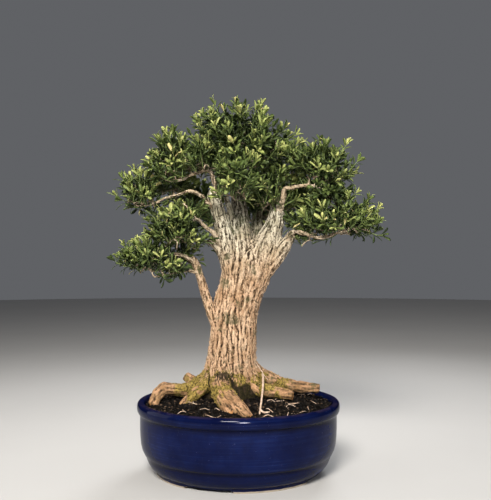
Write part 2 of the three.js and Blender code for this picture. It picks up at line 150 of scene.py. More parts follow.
def material(name, paint):
    """A material whose surface is the shader that paint makes."""
    made = bpy.data.materials.new(name)
    made.use_nodes = True
    made.node_tree.nodes.clear()
    start = Shade(made.node_tree)
    start.node("OutputMaterial", {}, {"Surface": paint(start)})
    return made


def pale_floor(s):
    mottle = s.noise(3, 3)
    return s.node(
        "BsdfPrincipled",
        {},
        {"Base Color": s.mix(mottle, (0.52, 0.51, 0.495), (0.58, 0.57, 0.555)), "Roughness": 0.8},
    )


def mesh_object(name, points, faces, *materials, smooth=True):
    """An object with its place in its mesh, from points in metres."""
    mesh = bpy.data.meshes.new(name)
    mesh.from_pydata([tuple(p) for p in points], [], faces)
    for finish in materials:
        mesh.materials.append(finish)
    if smooth:
        mesh.shade_smooth()
    else:
        mesh.shade_flat()
    made = bpy.data.objects.new(name, mesh)
    bpy.context.collection.objects.link(made)
    return made


FLOOR_RADIUS = 4.0
FLOOR_SIDES = 64
floor_ring = [
    (FLOOR_RADIUS * math.cos(a), FLOOR_RADIUS * math.sin(a), 0.0)
    for a in np.linspace(0, 2 * math.pi, FLOOR_SIDES, endpoint=False)
]
floor = mesh_object("floor", floor_ring, [tuple(range(FLOOR_SIDES))], material("pale floor", pale_floor))


def lamp(name, where, aim, width, power, colour, spread=180, gloss=False, light=True):
    """A square lamp. Gloss makes it show in shiny surfaces, and without light it does nothing else."""
    made = bpy.data.objects.new(name, bpy.data.lights.new(name, "AREA"))
    made.data.size = width
    made.data.energy = power
    made.data.color = colour
    made.data.spread = math.radians(spread)
    made.location = where
    made.rotation_euler = (Vector(aim) - Vector(where)).to_track_quat("-Z", "Y").to_euler()
    made.visible_glossy = gloss
    made.visible_diffuse = light
    bpy.context.collection.objects.link(made)


lamp("key", (-0.3, -1.75, 1.35), (0, 0, 0.27), 0.6, 11.8, (1.0, 0.96, 0.9), 70, gloss=True)
lamp("back", (0.5, 1.7, 1.2), (0, 0, 0.27), 0.8, 4.5, (0.95, 0.97, 1.0), 70)
lamp("window", (-1.15, 0.15, 0.42), (0, 0, 0.06), 0.8, 3, (1.0, 0.98, 0.95), gloss=True)
lamp("side", (1.3, -0.9, 0.7), (0, 0, 0.3), 0.8, 4, (0.95, 0.97, 1.0))
lamp("top", (0.0, 0.3, 1.6), (0, 0, 0.3), 1.0, 6, (1.0, 0.98, 0.95))
lamp("glint", (0.16, -1.5, 0.5), (0, 0, 0.05), 0.75, 1.7, (1.0, 0.97, 0.98), 16, gloss=True, light=False)
sky = bpy.data.worlds.new("sky")
sky.use_nodes = True
sky.node_tree.nodes["Background"].inputs["Color"].default_value = (0.9, 0.93, 1.0, 1)
sky.node_tree.nodes["Background"].inputs["Strength"].default_value = 0.13
sky.cycles_visibility.glossy = False
bpy.context.scene.world = sky
bpy.context.scene.view_settings.view_transform = "Standard"


# Pot. Thrown stoneware with a rolled rim, a groove low on the belly and a foot ring with four gaps, glazed
# in deep glossy blue all over but for the underside of the foot. The rings of throwing show in the glaze.
POT_TURNS = 160
POT_LINE = [
    (14, 13), (60, 13), (100, 13), (107, 14.5), (112.5, 19), (116, 27), (118, 38), (119.4, 60), (121, 87),
    (121.4, 90), (122.8, 92.2), (124.6, 93), (126.6, 93), (129, 92), (130.5, 89.8), (131, 86.8),
    (131, 84), (130.5, 81), (129.3, 78.8), (127.9, 77.9), (127.4, 77), (127.3, 74), (127.2, 66),
    (127, 58), (126.7, 48), (125.8, 39), (124.2, 32.5), (121.6, 26.9), (120.6, 26.2), (119.8, 25.2),
    (118.7, 21), (116.4, 15.5), (113, 10.4), (109.5, 7), (106.6, 5.4), (106, 4.4), (106, 0.7), (105.3, 0),
    (98.7, 0), (98, 0.7), (97.4, 4.2), (96.4, 5), (60, 5), (14.6, 5), (14, 5.6), (14, 12.4),
]
FOOT_GAP_HEIGHT = 3.8
FOOT_GAP_WIDTH = 58
FOOT_GAP_FIRST = -110
FOOT_RADIUS = 102
FOOT_INSIDE = 90
WALL_HEIGHTS = (28, 77)


def turned(line, turns, shape):
    """Points and faces of a closed line turned round the pot's axis."""
    angles = np.linspace(0, 2 * math.pi, turns, endpoint=False)
    points = [shape(r, z, a) for a in angles for r, z in line]
    n = len(line)
    faces = []
    for t in range(turns):
        for i in range(n):
            a, b = t * n + i, t * n + (i + 1) % n
            c, d = ((t + 1) % turns) * n + (i + 1) % n, ((t + 1) % turns) * n + i
            faces.append((a, d, c, b))
    return points, faces


def thrown(radius, height, angle):
    """Raises the foot's underside in the gaps, and leaves the slight waves of throwing on the wall."""
    turn = (math.degrees(angle) - FOOT_GAP_FIRST + 45) % 90 - 45
    half = math.degrees(math.asin(FOOT_GAP_WIDTH / 2 / FOOT_RADIUS))
    gap = 1 - min(max((abs(turn) - half) / 1.6 + 0.5, 0), 1)
    if height < FOOT_GAP_HEIGHT and radius > FOOT_INSIDE:
        height += gap * (FOOT_GAP_HEIGHT - height)
    if WALL_HEIGHTS[0] < height < WALL_HEIGHTS[1]:
        radius += 0.12 * math.sin(height * 0.9) + 0.1 * math.sin(2 * angle + 0.05 * height)
    return (radius * math.cos(angle), radius * math.sin(angle), height)


def blue_glaze(s):
    """Deep blue, nearly black where the glaze pools under the rim and in the groove, paler on sharp edges."""
    height = s.node("SeparateXYZ", {}, {"Vector": s.place()}, "Z")
    cloud = s.noise(26, 3, 0.55)
    streak = s.noise(60, 3, 0.6, (1, 1, 0.25))
    blue = s.mix(cloud.between(0.3, 0.7), (0.0020, 0.0042, 0.030), (0.0040, 0.0088, 0.054))
    blue = s.mix(streak.between(0.45, 0.75) * 0.35, blue, (0.0035, 0.006, 0.028))
    rings = s.noise(420, 2, 0.5, (0.02, 0.02, 1))
    ringed = rings.between(0.5, 0.66) * (cloud.between(0.4, 0.6) * 0.45 + 0.1)
    blue = s.mix(ringed, blue, (0.009, 0.019, 0.088))
    groove = height.between(0.0195, 0.0245) * (1 - height.between(0.026, 0.0285))
    under_rim = height.between(0.070, 0.0768) * (1 - height.between(0.0775, 0.0805))
    low = 1 - height.between(0.018, 0.026)
    pooled = s.mix(s.math("MAXIMUM", groove * 0.75, under_rim * 0.7), blue, (0.0015, 0.002, 0.010))
    pooled = s.mix(low * 0.55, pooled, (0.003, 0.005, 0.028))
    edge = height.between(0.0905, 0.0925)
    thin = s.mix(edge * streak.between(0.4, 0.65) * 0.5, pooled, (0.05, 0.035, 0.06))
    # Painted shade: the rolled rim and all above it are painted about a third darker.
    thin = s.mix(height.between(0.0765, 0.079) * 0.35, thin, (0.0015, 0.002, 0.010))
    speck = s.noise(900, 1).between(0.76, 0.8)
    speckled = s.mix(speck * 0.5, thin, (0.12, 0.14, 0.3))
    bare = 1 - (height + (streak - 0.5) * 0.0012).between(0.0016, 0.0024)
    clay = s.mix(s.noise(500, 3), (0.33, 0.27, 0.21), (0.52, 0.45, 0.37))
    belly = height.between(0.036, 0.044) * (1 - height.between(0.055, 0.066))
    return s.node(
        "BsdfPrincipled",
        {},
        {
            "Base Color": s.mix(bare, speckled, clay),
            "Roughness": bare * 0.6 + cloud * 0.05 + 0.16,
            "Specular IOR Level": 0.0,
            "Coat Weight": 0.52 - bare * 0.52,
            "Coat Roughness": 0.09,
            "Coat IOR": 1.27,
            "Normal": s.bump(rings * (belly * 1.3 + 0.6) + cloud * 0.9 + speck * 0.4, 0.0004, 0.5),
        },
    )


pot_points, pot_faces = turned(POT_LINE, POT_TURNS, thrown)
pot = mesh_object("glazed_pot", placed(pot_points), pot_faces, material("blue glaze", blue_glaze))
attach(pot, "root")
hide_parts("pot")


# Drainage screen. A square of black plastic mesh, cut with scissors and laid over the hole in the pot's
# floor, where the soil holds it down. The solid's own shape is right, and only its finish is made here.
def screen_plastic(s):
    grain = s.noise(700, 3)
    return s.node(
        "BsdfPrincipled",
        {},
        {
            "Base Color": s.mix(grain, (0.010, 0.010, 0.011), (0.028, 0.028, 0.026)),
            "Roughness": grain * 0.25 + 0.45,
            "Normal": s.bump(grain, 0.0001),
        },
    )


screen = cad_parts["drain_screen"]
screen.data.materials.clear()
screen.data.materials.append(material("screen plastic", screen_plastic))


# Trunk, limbs and surface roots. One piece of living wood. Rows of stations x, y, z and radius run up the
# trunk and out along each limb and root. The tubes are fused, their joints are softened, and the bark is
# raised in corky ridges that follow the grain.
TRUNK = [
    (-8, 4, 62, 36), (-8, 3, 84, 42), (-8.5, 2, 104, 42), (-9, 1, 122, 36), (-9, 0, 140, 32),
    (-8, 0, 160, 30), (-6.5, 0, 184, 29), (-4, 1, 209, 28.5), (3, 2, 235, 29), (11, 3, 258, 31),
    (14, 4, 272, 27), (15, 5, 284, 15),
]
TRUNK_FLAT = 0.84
LIMBS = {
    "left": [(-5, -3, 240, 12), (-17, -8, 300, 12), (-25, -10, 332, 9.5), (-33, -10, 359, 8)],
    "middle": [
        (7, 0, 250, 15), (3, 2, 300, 13.5), (2, 4, 332, 10.5), (-1, 6, 357, 8.5), (-2, 8, 389, 6.2),
        (1, 6, 420, 4.4), (6, 4, 449, 2.8),
    ],
    "stub_middle": [(-1, -4, 300, 7), (-9, -9, 332, 4.6), (-16, -10, 355, 3.2)],
    "right": [(16, 0, 232, 13), (36, -2, 290, 16.5), (45, -4, 315, 12.5), (51, -4, 337, 10)],
    "right_up": [(47, 2, 322, 9.5), (50, 8, 357, 6.5), (53, 8, 389, 4.4), (54, 4, 417, 2.8)],
    "back": [(18, 12, 262, 13), (23, 22, 305, 9.5), (30, 32, 343, 7), (37, 42, 381, 4.6), (40, 46, 411, 3)],
    "stub_right": [(24, -2, 246, 11), (50, -6, 281, 11), (62, -8, 296, 8), (69, -10, 306, 6)],
    "stub_left": [(-10, -6, 262, 9), (-24, -12, 287, 5.5), (-33, -14, 294, 3.8), (-41, -14, 298, 2.4)],
    "low_left": [
        (-24, -4, 182, 9), (-35, -8, 208, 7), (-42, -10, 227, 5.8), (-48, -12, 248, 5.2),
        (-53, -14, 265, 4.8), (-58, -16, 276, 4.2),
    ],
}
ROOTS = {
    "right": [
        (2, 0, 138, 17), (28, 5, 121, 12.5), (55, 9, 111.5, 9), (80, 10, 107, 7.4), (106, 10, 104.5, 6),
    ],
    "right_front": [(2, -8, 120, 14), (28, -19, 109, 9.5), (50, -26, 105, 6.8), (69, -31, 102.5, 5.6)],
    "front": [
        (-22, -14, 134, 15), (-22, -40, 114, 12.5), (-12, -62, 104, 11.5), (0, -80, 96, 10),
        (13, -101, 86, 7),
    ],
    "front_stub": [(-22, -46, 109, 11), (-16, -68, 99, 9), (-8, -87, 89, 7.5)],
    "left": [
        (-22, 0, 132, 16), (-48, -4, 114, 11), (-72, -8, 106, 8.5), (-98, -12, 107, 8), (-109, -22, 89, 6.5),
    ],
    "left_front": [(-26, -12, 126, 13), (-44, -24, 112, 8.5), (-59, -32, 101, 6.5), (-72, -37, 90, 4.5)],
    "left_back": [(-22, 14, 124, 13), (-45, 34, 110, 8.5), (-60, 44, 108, 6.8), (-72, 50, 116, 5.6)],
    "back": [(-6, 20, 122, 13), (0, 50, 107, 9), (8, 78, 97, 6.5), (14, 98, 86, 4)],
    "back_right": [(10, 12, 122, 13), (36, 36, 108, 9), (60, 54, 100, 7), (82, 68, 97, 5.8)],
}
TRUNK_SIDES, LIMB_SIDES = 28, 18
WOOD_VOXEL = 1.05
WOOD_FACES = 185000
JOINT_SOFTENING = 20
# Below the first of these heights all is root, and above the second nothing is.
ROOT_HEIGHTS = (112, 140)


def run_of(stations, step):
    """Stations at about that step on a smooth curve through the given ones."""
    given = np.array(stations, float)
    given = np.vstack([2 * given[0] - given[1], given, 2 * given[-1] - given[-2]])
    found = []
    for a, b, c, d in zip(given, given[1:], given[2:], given[3:]):
        count = max(2, round(np.linalg.norm(c[:3] - b[:3]) / step))
        for t in np.arange(count) / count:
            curve = 2 * b + (c - a) * t + (2 * a - 5 * b + 4 * c - d) * t**2 + (3 * b - a - 3 * c + d) * t**3
            found.append(curve / 2)
    return np.array(found + [given[-2]])


def tube(run, sides, flat=1.0):
    """Points and faces of a closed tube along a run. Each ring starts from the one before without a twist."""
    ways = np.gradient(run[:, :3], axis=0)
    ways /= np.linalg.norm(ways, axis=1)[:, None]
    side = np.array([1.0, 0, 0]) if abs(ways[0][0]) < 0.9 else np.array([0, 1.0, 0])
    angles = np.arange(sides) * 2 * math.pi / sides
    points = []
    for (x, y, z, radius), way in zip(run, ways):
        side = side - way * side.dot(way)
        side /= np.linalg.norm(side)
        other = np.cross(way, side)
        ring = np.outer(np.cos(angles), side) + np.outer(np.sin(angles), other) * flat
        points.append(ring * radius + (x, y, z))
    faces = []
    for i in range(len(run) - 1):
        for j in range(sides):
            k = (j + 1) % sides
            faces.append((i * sides + j, i * sides + k, (i + 1) * sides + k, (i + 1) * sides + j))
    last = (len(run) - 1) * sides
    faces.append(tuple(range(sides))[::-1])
    faces.append(tuple(last + j for j in range(sides)))
    return np.vstack(points), faces


def joined(parts):
    """Several (points, faces) as one."""
    points, faces, count = [], [], 0
    for part_points, part_faces in parts:
        points.append(part_points)
        faces += [tuple(i + count for i in face) for face in part_faces]
        count += len(part_points)
    return np.vstack(points), faces


def made_plain(piece):
    """The evaluated mesh of an object in place of its own, with its modifiers gone."""
    whole = bpy.data.meshes.new_from_object(piece.evaluated_get(bpy.context.evaluated_depsgraph_get()))
    piece.modifiers.clear()
    piece.data = whole
    return piece


def of_vertices(mesh, name="co", width=3):
    values = np.empty(len(mesh.vertices) * width, np.float32)
    mesh.vertices.foreach_get(name, values)
    return values.reshape(-1, width).astype(float)


def lumps(points, size, seed=0.0):
    """Smooth noise from -1 to 1 at points in millimetres, with features of about that size."""
    shift = Vector((seed, 2 * seed, 3 * seed))
    return np.array([noise.noise(Vector(p) / size + shift) for p in points])


thick = [(run_of(TRUNK, 5), TRUNK_FLAT, 1, False)]
thick += [(run_of(stations, 5), 1, 1, "stub" in name) for name, stations in LIMBS.items()]
thick += [(run_of(stations, 5), 1, -1, True) for stations in ROOTS.values()]


def wood_field(points):
    """At points in millimetres: distance out of the thick wood, direction of the grain, radius of the limb
    that is nearest, and how much its cut end is nearer than its side."""
    nearest = np.full(len(points), 1e9)
    grain = np.zeros((len(points), 3))
    radius = np.zeros(len(points))
    cut = np.zeros(len(points))
    for run, flat, way, sawn in thick:
        start, radii = run[:-1, :3], run[:, 3]
        step = np.diff(run[:, :3], axis=0)
        length = np.linalg.norm(step, axis=1)
        t = ((points[:, None] - start) * step).sum(2) / length**2
        inner = np.clip(t, 0, 1)
        away = points[:, None] - start - inner[:, :, None] * step
        away[:, :, 1] /= flat
        thickness = radii[:-1] + inner * np.diff(radii)
        distance = np.linalg.norm(away, axis=2) - thickness
        beyond = (t[:, -1] - 1) * length[-1]
        ahead = points - run[-1, :3] - beyond[:, None] * step[-1] / length[-1]
        beside = np.linalg.norm(ahead, axis=1) - radii[-1]
        past = beyond > 0
        distance[past, -1] = np.maximum(beside, beyond)[past]
        best = distance.argmin(axis=1)
        rows = np.arange(len(points))
        distance = distance[rows, best]
        share = np.exp(-np.clip(distance, -6, 40) / 4)
        grain += share[:, None] * way * step[best] / length[best][:, None]
        closer = distance < nearest
        nearest = np.where(closer, distance, nearest)
        radius = np.where(closer, thickness[rows, best], radius)
        end = np.where(past, np.clip(1 - np.abs(np.maximum(beside, 0)) / 1.2, 0, 1), 0)
        cut = np.where(closer, end * sawn, cut)
    grain /= np.linalg.norm(grain, axis=1)[:, None] + 1e-9
    return nearest, grain, radius, cut


wood_points, wood_faces = joined(
    tube(run, TRUNK_SIDES if flat == TRUNK_FLAT else LIMB_SIDES, flat) for run, flat, way, sawn in thick
)
wood = mesh_object("trunk_and_roots", placed(wood_points), wood_faces)
remesh = wood.modifiers.new("fuse", "REMESH")
remesh.mode = "VOXEL"
remesh.voxel_size = WOOD_VOXEL * MM
made_plain(wood)

# All faces of the fused skin have four corners. Each corner is a neighbour of the other three.
spots = of_vertices(wood.data) / MM - AXIS
corners = np.empty(len(wood.data.loops), np.int32)
wood.data.loops.foreach_get("vertex_index", corners)
corners = corners.reshape(-1, 4)
steps = [(0, 1), (1, 2), (2, 3), (3, 0), (0, 2), (1, 3)]
pairs = np.vstack([corners[:, step] for step in steps])
pairs = np.vstack([pairs, pairs[:, ::-1]])


def spread_over(values, weights):
    """Each vertex's values averaged over its neighbours by weight."""
    total = np.bincount(pairs[:, 0], weights, len(spots)) + 1e-9
    flat = values.reshape(len(spots), -1)
    sums = [np.bincount(pairs[:, 0], weights * column[pairs[:, 1]], len(spots)) for column in flat.T]
    return (np.stack(sums, 1) / total[:, None]).reshape(values.shape)


def soft_step(values, low, high):
    t = np.clip((values - low) / (high - low), 0, 1)
    return t * t * (3 - 2 * t)


outside, grain, limb_radius, cut_end = wood_field(spots)
fused = spots
even = np.ones(len(pairs))
loose = 0.6 * (1 - cut_end)[:, None]
for _ in range(JOINT_SOFTENING):
    spots = spots + loose * (spread_over(spots, even) - spots)
outside = wood_field(spots)[0]


def write_spots():
    wood.data.vertices.foreach_set("co", placed(spots).astype(np.float32).ravel())
    wood.data.update()


write_spots()
normals = of_vertices(wood.data, "normal")
# How much the softening filled the skin in, which marks its hollows for painted shade.
hollow = soft_step(spread_over(((spots - fused) * normals).sum(1), even), 0.12, 0.7)
spots -= normals * np.minimum(outside, 0)[:, None]
for _ in range(2):
    spots = spots + 0.8 * loose * (spread_over(spots, even) - spots)

# The ridges. Noise that is smeared along the grain gives long corky plates, with furrows where it is zero.
along = spots[pairs[:, 1]] - spots[pairs[:, 0]]
along /= np.linalg.norm(along, axis=1)[:, None] + 1e-9
grain = spread_over(grain, even)
grain /= np.linalg.norm(grain, axis=1)[:, None] + 1e-9
with_grain = np.abs((along * grain[pairs[:, 0]]).sum(1)) ** 12 + 1e-4


def streaks(size, passes, breadth, seed):
    """Noise smeared along the grain, without what is broader than one ridge."""
    values = lumps(spots, size, seed)
    for _ in range(passes):
        values = 0.3 * values + 0.7 * spread_over(values, with_grain)
    broad = values
    for _ in range(breadth):
        broad = 0.3 * broad + 0.7 * spread_over(broad, even)
    values = values - broad
    return values / values.std()


plates = streaks(size=1.9, passes=34, breadth=12, seed=3.1)
threads = streaks(size=1.2, passes=10, breadth=5, seed=7.7)
crumbs = lumps(spots, 2.7, 19.0)
broken = 1 - soft_step(np.abs(lumps(spots * (1, 1, 0.8), 6, 12.3)), 0.0, 0.13)
slim = 1 - soft_step(limb_radius, 9, 20)
relief = (0.6 - 0.3 * slim) * soft_step(plates, -1.4, 0.6)
relief += (0.25 + 0.3 * slim) * soft_step(threads, -1.3, 0.9)
relief += 0.15 * soft_step(crumbs, -0.35, 0.25)
relief = np.clip(relief - 0.3 * broken * (1 - soft_step(plates, 0.6, 1.4)), 0, 1)
root_like = 1 - soft_step(spots[:, 2], *ROOT_HEIGHTS)
patchy = 0.5 * soft_step(plates, -1.3, 0.5) + 0.25 * soft_step(threads, -1.2, 0.7)
patchy += 0.25 * soft_step(crumbs + 0.5 * lumps(spots, 5, 15.0), -0.45, 0.3)
relief += 0.75 * root_like * (patchy - relief)
depth = np.clip(0.105 * limb_radius, 0.3, 2.8) * (1 - 0.15 * root_like)
swell = lumps(spots, 26, 21.0) * np.clip(0.06 * limb_radius, 0, 1.6)
swell += root_like * (1.5 * lumps(spots, 13, 23.0) + 0.9 * lumps(spots, 6, 25.0))
write_spots()
normals = of_vertices(wood.data, "normal")
spots += normals * ((relief - 0.62) * depth * (1 - 0.8 * cut_end) + swell)[:, None]
write_spots()


def give(mesh, name, values):
    """A number for each vertex, which the materials read by its name."""
    added = mesh.attributes.new(name, "FLOAT", "POINT")
    added.data.foreach_set("value", np.asarray(values, np.float32).ravel())


mossy = soft_step(lumps(spots, 13, 31.0) + 0.7 * lumps(spots, 5, 33.0), -0.4, 0.05)
base = 1 - soft_step(spots[:, 2] + 12 * lumps(spots, 17, 40.0), 116, 143)
near_trunk = 1 - soft_step(np.hypot(spots[:, 0] + 8, spots[:, 1] - 2), 46, 98)
moss = mossy * base * near_trunk
# Painted shade: the hollows low on the flare, the foot of the thick wood next to the soil and a crevice at
# the front of the flare are painted dark on the bark and the moss.
hollow *= 1 - soft_step(spots[:, 2], 126, 140)
flare_foot_shade = soft_step(limb_radius, 22, 34) * (1 - soft_step(spots[:, 2] + 9 * lumps(spots, 11, 71.0), 108, 124))
crevice = 1 - np.linalg.norm((spots - (-18, -38, 127)) / (15, 18, 10), axis=1) + 0.6 * lumps(spots, 5, 73.0)
hollow = np.maximum(np.maximum(hollow, flare_foot_shade), 0.5 * soft_step(crevice, 0.1, 0.45))
give(wood.data, "bark_height", relief)
give(wood.data, "moss", moss)
give(wood.data, "cut_end", cut_end)
weathered = soft_step(spots[:, 2] + 14 * lumps(spots, 30, 50.0), 225, 335)
root_wood = 1 - soft_step(spots[:, 2], *ROOT_HEIGHTS)
give(wood.data, "weathered", weathered)
give(wood.data, "root", root_wood)
give(wood.data, "hollow", hollow)
shaded = 0.3 - of_vertices(wood.data, "normal")[:, 2] + 0.9 * lumps(spots, 9, 61.0)
give(wood.data, "stain", root_wood * soft_step(shaded, -0.2, 0.6))


def bark(s):
    """Pale corky ridges over dark furrows, peach on the trunk, grey on the limbs, ochre on the roots, with
    moss where the trunk spreads and fresh brown wood on the cut ends."""
    height, moss, weathered = s.named("bark_height"), s.named("moss"), s.named("weathered")
    fine = s.noise(420, 4, 0.6)
    patch = s.noise(55, 3, 0.5)
    thread = s.noise(260, 3, 0.6, (1, 1, 0.22))
    shift = {0: s.noise(240, 3), 1: (0.006,) * 3, 2: s.place()}
    bent = s.node("VectorMath", {"operation": "MULTIPLY_ADD"}, shift)
    cells = s.node("Mapping", {}, {"Vector": bent, "Scale": (1, 1, 0.28)})
    crack = s.node("TexVoronoi", {"feature": "DISTANCE_TO_EDGE"}, {"Vector": cells, "Scale": 300}, "Distance")
    plate = crack.between(0.0, 0.16)
    cork = plate * 0.22 * (1 - s.named("root") * 0.7) + s.named("root") * 0.05
    level = height * 0.85 + cork + (thread - 0.5) * 0.6 + (fine - 0.5) * 0.9 - 0.12 - weathered * 0.04
    tan = s.mix(patch.between(0.35, 0.65), (0.50, 0.31, 0.178), (0.69, 0.475, 0.31))
    tan = s.mix(thread.between(0.5, 0.72) * 0.6, tan, (0.84, 0.65, 0.45))
    grey = s.mix(patch.between(0.35, 0.65), (0.42, 0.385, 0.275), (0.69, 0.645, 0.51))
    ochre = s.mix(s.noise(70, 4, 0.6).between(0.36, 0.64), (0.30, 0.155, 0.070), (0.57, 0.322, 0.172))
    top = s.mix(weathered * 0.95, tan, grey)
    top = s.mix(s.named("root") * 0.8, top, ochre)
    top = s.mix(s.named("stain") * 0.5, top, (0.30, 0.185, 0.065))
    side = s.mix(weathered, (0.155, 0.092, 0.048), (0.105, 0.092, 0.060))
    wood_colour = s.mix(level.between(0.22, 0.72), side, top)
    brown = s.mix(level.between(-0.08, 0.30), (0.018, 0.011, 0.007), wood_colour)
    lichen = s.noise(48, 4, 0.65).between(0.55, 0.64)
    greened = s.mix(lichen * 0.75 * (1 - level.between(0.5, 1.0) * 0.6), brown, (0.075, 0.078, 0.036))
    green = s.mix(fine.between(0.35, 0.62), (0.030, 0.024, 0.005), (0.37, 0.275, 0.066))
    mossed = s.mix((moss + (fine - 0.5) * 0.8).between(0.28, 0.56) * 0.9, greened, green)
    # Painted shade: the hollows, the crevice and the foot of the flare go nearly black.
    deep = (s.named("hollow") + (fine - 0.5) * 0.5).between(0.1, 0.6)
    mossed = s.mix(deep * 0.93, mossed, (0.010, 0.009, 0.005))
    end = s.mix(s.noise(160, 3), (0.40, 0.17, 0.055), (0.62, 0.33, 0.13))
    return s.node(
        "BsdfPrincipled",
        {},
        {
            "Base Color": s.mix(s.named("cut_end") * 0.85, mossed, end),
            "Roughness": 0.9 - fine * 0.1,
            "Specular IOR Level": 0.1,
            "Normal": s.bump(fine + thread * 0.7 + cork * 2.2, 0.0013),
        },
    )


bark_finish = material("bark", bark)
normals = of_vertices(wood.data, "normal")
thin_out = wood.modifiers.new("thin out", "DECIMATE")
thin_out.ratio = WOOD_FACES / (2 * len(wood.data.polygons))
made_plain(wood)
wood.data.materials.append(bark_finish)
wood.data.shade_smooth()
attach(wood, "root")
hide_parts("trunk_and_branches")


# Flakes. Loose scales of cork that have come away from the ridges of the trunk and the limbs. They follow
# the grain and are tipped out at one end, and the bark holds them by the other.
chance = np.random.default_rng(20417)


def setting_tree(name):
    """Sets a copy of a part on each marked point, turned and sized as the point says and a little unevenly,
    and gives the shoots and the parts their materials."""
    tree = bpy.data.node_groups.new(name, "GeometryNodeTree")
    tree.interface.new_socket("Geometry", in_out="INPUT", socket_type="NodeSocketGeometry")
    for title, kind, value in [
        ("Part", "NodeSocketObject", None),
        ("Part Material", "NodeSocketMaterial", None),
        ("Shoot Material", "NodeSocketMaterial", None),
        ("Part Scale", "NodeSocketFloat", 1.0),
        ("Unevenness", "NodeSocketFloat", 0.1),
        ("Seed", "NodeSocketInt", 1),
    ]:
        socket = tree.interface.new_socket(title, in_out="INPUT", socket_type=kind)
        if value is not None:
            socket.default_value = value
    tree.interface.new_socket("Geometry", in_out="OUTPUT", socket_type="NodeSocketGeometry")
    nodes, links = tree.nodes, tree.links
    given, result = nodes.new("NodeGroupInput"), nodes.new("NodeGroupOutput")

    def reads(title, kind):
        node = nodes.new("GeometryNodeInputNamedAttribute")
        node.data_type = kind
        node.inputs["Name"].default_value = title
        return node.outputs["Attribute"]

    marked = reads("is_part", "FLOAT")
    split = nodes.new("GeometryNodeSeparateGeometry")
    links.new(given.outputs["Geometry"], split.inputs["Geometry"])
    links.new(marked, split.inputs["Selection"])
    part = nodes.new("GeometryNodeObjectInfo")
    links.new(given.outputs["Part"], part.inputs["Object"])
    uneven = nodes.new("FunctionNodeRandomValue")
    uneven.data_type = "FLOAT_VECTOR"
    minus = nodes.new("ShaderNodeMath")
    minus.operation = "MULTIPLY"
    minus.inputs[1].default_value = -1
    links.new(given.outputs["Unevenness"], minus.inputs[0])
    links.new(minus.outputs[0], uneven.inputs["Min"])
    links.new(given.outputs["Unevenness"], uneven.inputs["Max"])
    links.new(given.outputs["Seed"], uneven.inputs["Seed"])
    turned_by = nodes.new("FunctionNodeEulerToRotation")
    links.new(reads("turn", "FLOAT_VECTOR"), turned_by.inputs[0])
    shaken = nodes.new("FunctionNodeEulerToRotation")
    links.new(uneven.outputs[0], shaken.inputs[0])
    both = nodes.new("FunctionNodeRotateRotation")
    both.rotation_space = "LOCAL"
    links.new(turned_by.outputs[0], both.inputs[0])
    links.new(shaken.outputs[0], both.inputs[1])
    scaled = nodes.new("ShaderNodeVectorMath")
    scaled.operation = "SCALE"
    links.new(reads("size", "FLOAT_VECTOR"), scaled.inputs[0])
    links.new(given.outputs["Part Scale"], scaled.inputs["Scale"])
    instance = nodes.new("GeometryNodeInstanceOnPoints")
    links.new(split.outputs["Selection"], instance.inputs["Points"])
    links.new(part.outputs["Geometry"], instance.inputs["Instance"])
    links.new(both.outputs[0], instance.inputs["Rotation"])
    links.new(scaled.outputs[0], instance.inputs["Scale"])
    real = nodes.new("GeometryNodeRealizeInstances")
    links.new(instance.outputs[0], real.inputs[0])
    join = nodes.new("GeometryNodeJoinGeometry")
    finishes = {"Part Material": real.outputs[0], "Shoot Material": split.outputs["Inverted"]}
    for finish, geometry in finishes.items():
        paint = nodes.new("GeometryNodeSetMaterial")
        links.new(geometry, paint.inputs["Geometry"])
        links.new(given.outputs[finish], paint.inputs["Material"])
        links.new(paint.outputs[0], join.inputs[0])
    links.new(join.outputs[0], result.inputs[0])
    return tree


def run_tree(piece, tree, **values):
    """Runs a node tree on an object, with inputs named as in the tree, and leaves a plain mesh."""
    added = piece.modifiers.new("nodes", "NODES")
    added.node_group = tree
    for item in tree.interface.items_tree:
        key = item.name.lower().replace(" ", "_")
        if item.in_out == "INPUT" and key in values:
            added[item.identifier] = values[key]
    return made_plain(piece)


def mark(piece, first, turns, sizes):
    """Marks a piece's vertices from first on as places for parts, with a turn and a size along each of the
    part's axes."""
    give(piece.data, "is_part", np.concatenate([np.zeros(first), np.ones(len(sizes))]))
    for name, given in (("turn", turns), ("size", sizes)):
        values = np.zeros((first + len(sizes), 3), np.float32)
        values[first:] = given
        piece.data.attributes.new(name, "FLOAT_VECTOR", "POINT").data.foreach_set("vector", values.ravel())


def turn_of(along, face):
    """The turn that lays a part's +X along a direction, with its face up to another."""
    along = along / np.linalg.norm(along)
    across = np.cross(face, along)
    across /= np.linalg.norm(across) + 1e-9
    return Matrix((along, across, np.cross(along, across))).transposed().to_euler()


FLAKES = 2600
FLAKES_FROM, FLAKES_TO = 116, 335
THINNEST_WITH_FLAKES = 4.5
setting = setting_tree("parts on marked points")
flake_points = [
    (-2.6, -0.5, -0.5), (-2.3, 0.8, -0.4), (2.4, -1.0, 0.5), (2.9, 0.6, 0.9), (-0.2, -1.3, -0.1),
    (0.3, 1.3, 0.1), (-2.4, -0.3, -1.0), (-2.2, 0.6, -0.9), (2.3, -0.8, 0.1), (2.7, 0.4, 0.4),
    (-0.2, -1.0, -0.8), (0.3, 1.0, -0.7),
]
flake_faces = [
    (0, 4, 5, 1), (4, 2, 3, 5), (6, 7, 11, 10), (10, 11, 9, 8), (0, 6, 10, 4), (4, 10, 8, 2), (2, 8, 9, 3),
    (3, 9, 11, 5), (5, 11, 7, 1), (1, 7, 6, 0),
]
flake = mesh_object("flake", np.array(flake_points) * MM, flake_faces, smooth=False)
corky = (relief > 0.55) & (limb_radius > THINNEST_WITH_FLAKES) & (cut_end < 0.1)
